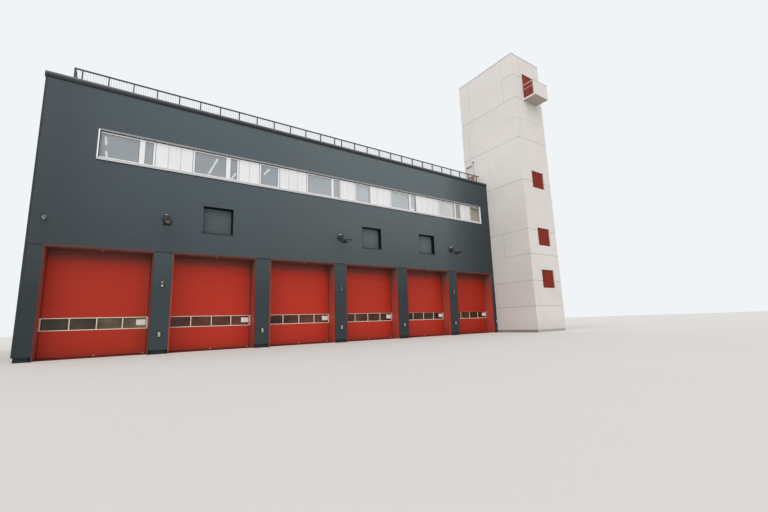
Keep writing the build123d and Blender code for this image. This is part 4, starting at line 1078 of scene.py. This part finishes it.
class STATION_OT_railing_bars(bpy.types.Operator):
    """Upright bars between the posts of the roof railings."""

    bl_idname = "station.railing_bars"
    bl_label = "Railing bars"

    def execute(self, context):
        sizes = context.scene.station_sizes
        half, above_wall, below_rail, close = sizes.bar_width / 2, 0.11, 0.05, 1e-3
        for node in ("roof_railing_front", "roof_railing_rear", "roof_railing_sides"):
            points, parts = points_of(node), []
            for low, high in islands(node):
                axis = 0 if high[0] - low[0] > high[1] - low[1] else 1
                own = np.all((points >= low - close) & (points <= high + close), axis=1)
                feet = np.unique(np.round(points[own & (points[:, 2] < low[2] + close), axis], 3))
                posts = feet.reshape(-1, 2).mean(1)
                places = []
                for near, far in zip(posts[:-1], posts[1:]):
                    count = max(1, round((far - near) / sizes.bar_pitch))
                    places.append(near + (far - near) * np.arange(1, count) / count)
                places = np.concatenate(places)
                middle = np.tile((low + high) / 2, (len(places), 1))
                middle[:, axis] = places
                foot, head = middle - half, middle + half
                foot[:, 2] = HALL_TOP + above_wall
                head[:, 2] = high[2] - below_rail
                parts.append(boxes(foot, head))
            piece(node.replace("railing", "railing_bars"), parts, "zinc")
        return {"FINISHED"}


# Glazing

def outward(low, high):
    """Axis that a pane faces along, and which way is out of the building."""
    axis = int(np.argmin((high - low)[:2]))
    middle = (WALLS_LOW + WALLS_HIGH)[axis] / 2
    return axis, 1 if (low + high)[axis] / 2 > middle else -1


def layer(low, high, axis, way, start, end):
    """The box with its depth moved to between start and end in from its outer face."""
    low, high = low.copy(), high.copy()
    face = high[axis] if way > 0 else low[axis]
    low[axis], high[axis] = sorted((face - way * start, face - way * end))
    return low, high


def shrunk(low, high, axis, by):
    """A pane's box with its four edges drawn in."""
    low, high = low.copy(), high.copy()
    edges = [1 - axis, 2]
    low[edges] += by
    high[edges] -= by
    return low, high


def rim(low, high, axis, way, width, back, proud, bars=(0, 1, 2, 3)):
    """Bars inside a pane's edge, at its foot, head and sides, from back to proud of its face."""
    side = 1 - axis
    low, high = layer(low, high, axis, way, -back, -proud)
    inner_low, inner_high = shrunk(low, high, axis, width)
    lows, highs = [], []
    for fixed, edge_low, edge_high in (
        (2, low[2], inner_low[2]),
        (2, inner_high[2], high[2]),
        (side, low[side], inner_low[side]),
        (side, inner_high[side], high[side]),
    ):
        bar_low, bar_high = low.copy(), high.copy()
        if fixed == side:
            bar_low[2], bar_high[2] = inner_low[2], inner_high[2]
        bar_low[fixed], bar_high[fixed] = edge_low, edge_high
        lows.append(bar_low)
        highs.append(bar_high)
    return boxes([lows[bar] for bar in bars], [highs[bar] for bar in bars])


def surround_gaps(low, high):
    """Near-black strips inside a band's white surround and under its sill: painted shadow."""
    axis, way = outward(low, high)
    side = 1 - axis
    wall = (WALLS_HIGH if way > 0 else WALLS_LOW)[axis]
    inner = sorted((wall - way * 0.092, wall - way * 0.106))
    under_sill_shadow = sorted((wall + way * 0.001, wall + way * 0.03))
    near, far = low[side] + BAND_JAMB, high[side] - BAND_JAMB
    foot, head = low[2] + BAND_SILL, high[2] - BAND_HEAD
    # Painted shadow under the head, inside both jambs and under the sill.
    strips = (
        (near, far, head - 0.045, head, *inner),
        (near, near + 0.035, foot, head - 0.045, *inner),
        (far - 0.035, far, foot, head - 0.045, *inner),
        (low[side], high[side], low[2] - 0.02, low[2], *under_sill_shadow),
    )
    made = []
    for start, end, bottom, top, front, back in strips:
        strip_low, strip_high = np.empty(3), np.empty(3)
        strip_low[[side, axis, 2]] = start, front, bottom
        strip_high[[side, axis, 2]] = end, back, top
        made.append(boxes(strip_low, strip_high))
    return made


class STATION_OT_windows(bpy.types.Operator):
    """Sash rims, gaskets, backing and shadow gaps of the window band; the dark strips beside the front panes
    and in the surround are painted shadow.
    """

    bl_idname = "station.windows"
    bl_label = "Windows"

    def execute(self, context):
        sizes = context.scene.station_sizes
        rims, gaskets, edges, backing, gaps = [], [], [], [], []
        for low, high in islands("window_glass"):
            axis, way = outward(low, high)
            rims.append(rim(low, high, axis, way, sizes.sash_step, 0.0, 0.022))
            inner = shrunk(low, high, axis, sizes.sash_step)
            gaskets.append(rim(*inner, axis, way, sizes.gasket, 0.0, 0.006))
            # Painted shadow: a dark strip at the right edge of each front pane.
            if (axis, way) == (1, -1) and low[0] > PANE_SHADOW_FROM:
                cover = sizes.pane_edge * (WIDE_PANE_SHADOW_SHARE if low[0] >= WIDE_PANE_SHADOW_FROM else 1)
                start = high[0] - 0.004, low[1] - SASH_REBATE - 0.003, low[2]
                edges.append(boxes(start, (high[0] + cover, low[1], high[2])))
        panels = islands("window_panels")
        for low, high in panels:
            axis, way = outward(low, high)
            side = 1 - axis
            in_line = [box for box in panels if abs(box[0][axis] - low[axis]) < 0.01]
            depth = high[axis] - low[axis]
            low, high = low.copy(), high.copy()
            low[side] -= 0.006
            high[side] += 0.006
            for edge in (low[side], high[side]):
                if sum(abs(corner[side] - edge) < 0.01 for box in in_line for corner in box) < 2:
                    gap_low, gap_high = layer(low, high, axis, way, 0.002, -0.004)
                    gap_low[side], gap_high[side] = edge - 0.010, edge + 0.006
                    gaps.append(boxes(gap_low, gap_high))
            backing.append(boxes(*layer(low, high, axis, way, depth + 0.004, depth + 0.022)))
        for low, high in islands("window_frames"):
            gaps += surround_gaps(low, high)
        piece("sash_rims", rims, "white", bevel=0.003)
        piece("window_gaskets", gaskets, "rubber")
        piece("pane_edges", edges, "edge")
        piece("panel_backing", backing, "rubber")
        # Dark joints beside the panels, and painted shadow in the surrounds.
        piece("band_shadow_gaps", gaps, "shadow")
        return {"FINISHED"}


class STATION_OT_upper_storey(bpy.types.Operator):
    """Blinds, their cassettes and the ceiling lights behind the window band."""

    bl_idname = "station.upper_storey"
    bl_label = "Upper storey"

    def execute(self, context):
        half = context.scene.station_sizes.tube_width / 2
        panes = islands("window_glass")
        front = [box for box in panes if outward(*box) == (1, -1)]
        cassettes, tubes, rods = [], [], []
        for low, high in panes:
            axis, way = outward(low, high)
            depth = high[axis] - low[axis]
            low, high = layer(low, high, axis, way, depth + 0.02, depth + 0.09)
            low[2] = high[2] - 0.13
            cassettes.append(boxes(low, high))
        piece("blind_cassettes", cassettes, "cassette")
        drawn = {"blind": [], "sand": []}
        for number, drop, finish in BLINDS:
            low, high = (corner.copy() for corner in front[number])
            low[2] = high[2] - (high[2] - low[2]) * drop
            low[1], high[1] = high[1] + 0.06, high[1] + 0.065
            drawn[finish].append(boxes(low, high))
        piece("window_blinds", drawn["blind"], "blind")
        piece("sand_blind", drawn["sand"], "sand")
        low, high, ceiling = CEILING_LIGHT_LEVEL, CEILING_LIGHT_LEVEL + 0.06, box_of("roof_deck")[0][2]
        inset, rod_half = 0.2, 0.004
        for place, near, far in CEILING_LIGHTS:
            x = LEFT + place
            tubes.append(boxes((x - half, FRONT + near, low), (x + half, FRONT + far, high)))
            for y in (FRONT + near + inset, FRONT + far - inset):
                rods.append(boxes((x - rod_half, y - rod_half, high), (x + rod_half, y + rod_half, ceiling)))
        piece("ceiling_lights", tubes, "glow")
        piece("ceiling_light_rods", rods, "metal")
        return {"FINISHED"}


# Bay doors

class STATION_OT_doors(bpy.types.Operator):
    """Seals, pane rims, blank notices and pulls of the bay doors."""

    bl_idname = "station.doors"
    bl_label = "Bay doors"

    def execute(self, context):
        sizes = context.scene.station_sizes
        seals, side_seals, pulls, notices = [], [], [], []
        pull_width, pull_height, lining_head = 0.10, 0.026, 0.064
        panes = islands("door_window_glass")
        for number, (glazed_low, glazed_high) in enumerate(islands("door_window_frames"), 1):
            low, high = box_of(f"bay_door_{number}")
            near, far, front = glazed_low[0], glazed_high[0], low[1]
            level = low[2] + sizes.seal
            seals.append(boxes((near, front - 0.012, low[2]), (far, front, level)))
            # Dark side seals, wide enough to paint the shade in the corner between leaf and reveal.
            for edge, turn in ((near, 1), (far, -1)):
                left, right = sorted((edge, edge + turn * sizes.side_seal))
                for bottom, top in ((level, glazed_low[2]), (glazed_high[2], OPENING_TOP - lining_head)):
                    side_seals.append(boxes((left, front - 0.010, bottom), (right, front, top)))
            last_low, last_high = [box for box in panes if low[0] < box[0][0] < high[0]][-1]
            right = last_high[0] - 0.03
            middle = (last_low[2] + last_high[2]) / 2 + 0.02
            bottom, top = middle - sizes.notice_height / 2, middle + sizes.notice_height / 2
            face = last_low[1]
            notices.append(boxes((right - sizes.notice_width, face - 0.004, bottom), (right, face, top)))
            for place in ((near + far) / 2 - 0.05, far - 0.17):
                corner = place + pull_width, front, level + pull_height
                pulls.append(boxes((place, front - 0.016, level), corner))
        gaskets = [rim(low, high, 1, -1, 0.01, 0.0, 0.006) for low, high in panes]
        piece("door_seals", seals, "bottom_seal")
        piece("door_side_seals", side_seals, "side_seal")
        piece("blank_notices", notices, "plate")
        piece("door_pulls", pulls, "pull", bevel=0.004)
        piece("door_pane_gaskets", gaskets, "rubber")
        return {"FINISHED"}


# Small pieces

class STATION_OT_lamps(bpy.types.Operator):
    """Caps, hubs, rims and lenses of the floodlights, and the camera's hood; the white caps are a painted
    highlight on the dark drums.
    """

    bl_idname = "station.lamps"
    bl_label = "Lamps"

    def execute(self, context):
        caps, hubs, rims, glasses = [], [], [], []
        dome = [(0.085, 0.0), (0.082, 0.02), (0.066, 0.045), (0.036, 0.06), (0.004, 0.064)]
        hub = [(0.10, 0.0), (0.10, 0.008), (0.085, 0.018), (0.05, 0.024), (0.004, 0.026)]
        for low, high in islands("floodlights"):
            middle, wall, top = (low[0] + high[0]) / 2, high[1], high[2]
            # Painted highlight: a white cap on top of each drum.
            caps.append(turned(dome, (middle, wall - 0.10, top - 0.02), (0, -0.35, 1)))
            hubs.append(turned(hub, (middle, wall - 0.20, top - 0.18), (0, -1, 0)))
            far, half, lip = low[1], low[1] + 0.41, 0.05
            lens_far, lens_near = low[2] + 0.058, low[2] + 0.032
            tip = far - 0.01
            side = [(tip, lens_far), (tip, lens_far + lip), (half, lens_near + lip), (half, lens_near)]
            for start, end in ((low[0] + 0.012, low[0] + 0.002), (middle + 0.17, middle + 0.18)):
                rims.append(run(side, (start, 0, 0), (end, 0, 0)))
            rims.append(boxes((middle - 0.18, far - 0.012, lens_far), (middle + 0.18, far, lens_far + lip)))
            face = [
                (far + 0.03, lens_far - 0.004), (half, lens_near - 0.006),
                (half, lens_near + 0.004), (far + 0.03, lens_far + 0.004),
            ]
            glasses.append(run(face, (middle - 0.11, 0, 0), (middle + 0.09, 0, 0)))
        piece("floodlight_highlight_caps", caps, "plate", smooth=40)
        piece("floodlight_hubs", hubs, "lamp", smooth=40)
        piece("floodlight_rims", rims, "lamp")
        piece("floodlight_glasses", glasses, "lamp_glass")
        low, high = box_of("security_camera")
        tilt = math.radians(29)
        axis = Vector((-math.sin(tilt), 0, math.cos(tilt)))
        centre = Vector((low[0] + 0.10, low[1] + 0.045, (low[2] + high[2]) / 2)) + axis * 0.045
        hood = [(0.046, 0.0), (0.053, 0.0), (0.053, 0.085), (0.046, 0.095), (0.004, 0.096)]
        piece("camera_hood", [turned(hood, centre, axis)], "rubber", smooth=40)
        return {"FINISHED"}


class STATION_OT_boxes(bpy.types.Operator):
    """Bezels of the door signals, and lids and buttons of the call boxes."""

    bl_idname = "station.boxes"
    bl_label = "Signals and boxes"

    def execute(self, context):
        bezels, lids, buttons = [], [], []
        for low, high in islands("signal_lenses"):
            centre = (low[0] + high[0]) / 2, high[1], (low[2] + high[2]) / 2
            inner = (high[2] - low[2]) / 2 + 0.004
            outer = inner + 0.006
            section = [(inner, 0.0), (outer, 0.0), (outer, 0.035), (inner, 0.035)]
            bezels.append(turned(section, centre, (0, -1, 0), hollow=True))
        knob = [(0.014, 0.0), (0.014, 0.010), (0.011, 0.016), (0.002, 0.017)]
        half_width, half_height, lid_depth = 0.048, 0.105, 0.010
        for low, high in islands("call_boxes"):
            middle, height = (low[0] + high[0]) / 2, (low[2] + high[2]) / 2
            left, right, front = middle - half_width, middle + half_width, low[1] - lid_depth
            lids.append(boxes((left, front, height - half_height), (right, low[1], height + half_height)))
            buttons.append(turned(knob, (middle, front, height - 0.05), (0, -1, 0), 16))
        piece("signal_bezels", bezels, "metal", smooth=40)
        piece("call_box_lids", lids, "lid", bevel=0.004)
        piece("call_box_buttons", buttons, "rubber", smooth=40)
        return {"FINISHED"}


class STATION_OT_roof_door(bpy.types.Operator):
    """The side panel, handle and lamp conduit of the tower's roof door."""

    bl_idname = "station.roof_door"
    bl_label = "Roof door"

    def execute(self, context):
        lamp_low, lamp_high = box_of("roof_door_lamps")
        middle, half, depth = lamp_low[1] + 0.09, 0.015, 0.03
        start = lamp_high[0] - depth, middle - half, HALL_TOP
        conduit = boxes(start, (lamp_high[0], middle + half, lamp_high[2] - 0.18))
        low, high = box_of("roof_door")
        face, edge, foot = low[0], high[1], low[2]
        corners = np.array((face, edge, foot)), np.array((face, edge + 0.31, high[2] + 0.24))
        infill = boxes((face - 0.008, edge + 0.03, foot + 0.03), (face, edge + 0.28, high[2] + 0.21))
        handle = boxes((face - 0.05, low[1] + 0.12, foot + 1.02), (face, low[1] + 0.24, foot + 1.05))
        piece("lamp_conduit", [conduit], "faint")
        piece("roof_door_side_frame", [rim(*corners, 0, -1, 0.03, -0.002, 0.014)], "roof_door")
        piece("roof_door_side_panel", [infill], "roof_door")
        piece("roof_door_handle", [handle], "zinc", bevel=0.006)
        return {"FINISHED"}


class STATION_OT_stage(bpy.types.Operator):
    """Floor, light and the camera at the photograph's viewing angle."""

    bl_idname = "station.stage"
    bl_label = "Stage"

    def execute(self, context):
        scene = context.scene
        stage = scene.station_stage
        scene.view_settings.view_transform = "Standard"
        scene.world = bpy.data.worlds.new("overcast")
        scene.world.use_nodes = True
        sky = Nodes(scene.world.node_tree)
        kinds = ("Camera", "Glossy", "Transmission")
        seen, *others = (sky.add("ShaderNodeLightPath", out=f"Is {kind} Ray") for kind in kinds)
        for other in others:
            seen = sky.add("ShaderNodeMath", {"operation": "MAXIMUM"}, [seen, other])
        light = sky.add("ShaderNodeBackground", {}, {"Color": (0.97, 0.985, 1.0), "Strength": stage.sky})
        backdrop = sky.add("ShaderNodeBackground", {}, {"Color": stage.backdrop})
        sky.close("ShaderNodeOutputWorld", sky.add("ShaderNodeMixShader", {}, [seen, light, backdrop]))

        sun = bpy.data.lights.new("soft_sun", "SUN")
        sun.energy = stage.sun
        sun.angle = math.radians(70)
        sun.color = (1.0, 0.985, 0.96)
        sun_object = bpy.data.objects.new("soft_sun", sun)
        sun_object.rotation_euler = (math.radians(46), 0, math.radians(-48))
        scene.collection.objects.link(sun_object)

        reach = 400.0
        floor = bpy.data.meshes.new("floor")
        corners = [(-reach, -reach, 0), (reach, -reach, 0), (reach, reach, 0), (-reach, reach, 0)]
        floor.from_pydata(corners, [], [(0, 1, 2, 3)])
        recipe = Recipe("floor_finish")
        tone = recipe.noise(0.12) * 0.05 + 0.975
        floor.materials.append(recipe.surface(recipe.dim(stage.floor, tone), 0.9))
        floor_object = bpy.data.objects.new("floor", floor)
        scene.collection.objects.link(floor_object)

        lens = bpy.data.cameras.new("view")
        lens.sensor_width = 36.0
        lens.lens = CAMERA_LENS
        lens.clip_end = 2000.0
        camera = bpy.data.objects.new("view", lens)
        level = Vector((math.cos(CAMERA_YAW), -math.sin(CAMERA_YAW), 0))
        ahead = Vector((math.sin(CAMERA_YAW), math.cos(CAMERA_YAW), 0)) * math.cos(CAMERA_PITCH)
        ahead.z = math.sin(CAMERA_PITCH)
        above = level.cross(ahead)
        across = level * math.cos(CAMERA_ROLL) + above * math.sin(CAMERA_ROLL)
        upward = above * math.cos(CAMERA_ROLL) - level * math.sin(CAMERA_ROLL)
        turn = Matrix((across, upward, -ahead)).transposed()
        camera.matrix_world = Matrix.Translation(CAMERA_PLACE) @ turn.to_4x4()
        scene.collection.objects.link(camera)
        scene.camera = camera
        return {"FINISHED"}


GROUPS = {
    "station_sizes": StationSizes,
    "station_colours": StationColours,
    "station_stage": StationStage,
}
STEPS = (
    STATION_OT_stage,
    STATION_OT_finishes,
    STATION_OT_cladding,
    STATION_OT_louvres,
    STATION_OT_roof_edge,
    STATION_OT_railing_bars,
    STATION_OT_windows,
    STATION_OT_upper_storey,
    STATION_OT_doors,
    STATION_OT_lamps,
    STATION_OT_boxes,
    STATION_OT_roof_door,
)


class STATION_PT_panel(bpy.types.Panel):
    """Sizes, colours and the steps that dress the fire station."""

    bl_idname = "STATION_PT_panel"
    bl_label = "Fire station"
    bl_space_type = "VIEW_3D"
    bl_region_type = "UI"
    bl_category = "Fire station"

    def draw(self, context):
        for name, group in GROUPS.items():
            box = self.layout.box()
            for field in group.__annotations__:
                box.prop(getattr(context.scene, name), field)
        for step in STEPS:
            self.layout.operator(step.bl_idname)


CLASSES = (*GROUPS.values(), *STEPS, STATION_PT_panel)


def register():
    for kind in CLASSES:
        bpy.utils.register_class(kind)
    for name, group in GROUPS.items():
        setattr(bpy.types.Scene, name, bpy.props.PointerProperty(type=group))


def unregister():
    for name in GROUPS:
        delattr(bpy.types.Scene, name)
    for kind in reversed(CLASSES):
        bpy.utils.unregister_class(kind)


def main():
    """Run every step."""
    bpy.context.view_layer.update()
    register()
    for step in STEPS:
        group, name = step.bl_idname.split(".")
        getattr(getattr(bpy.ops, group), name)()


if __name__ == "__main__":
    main()
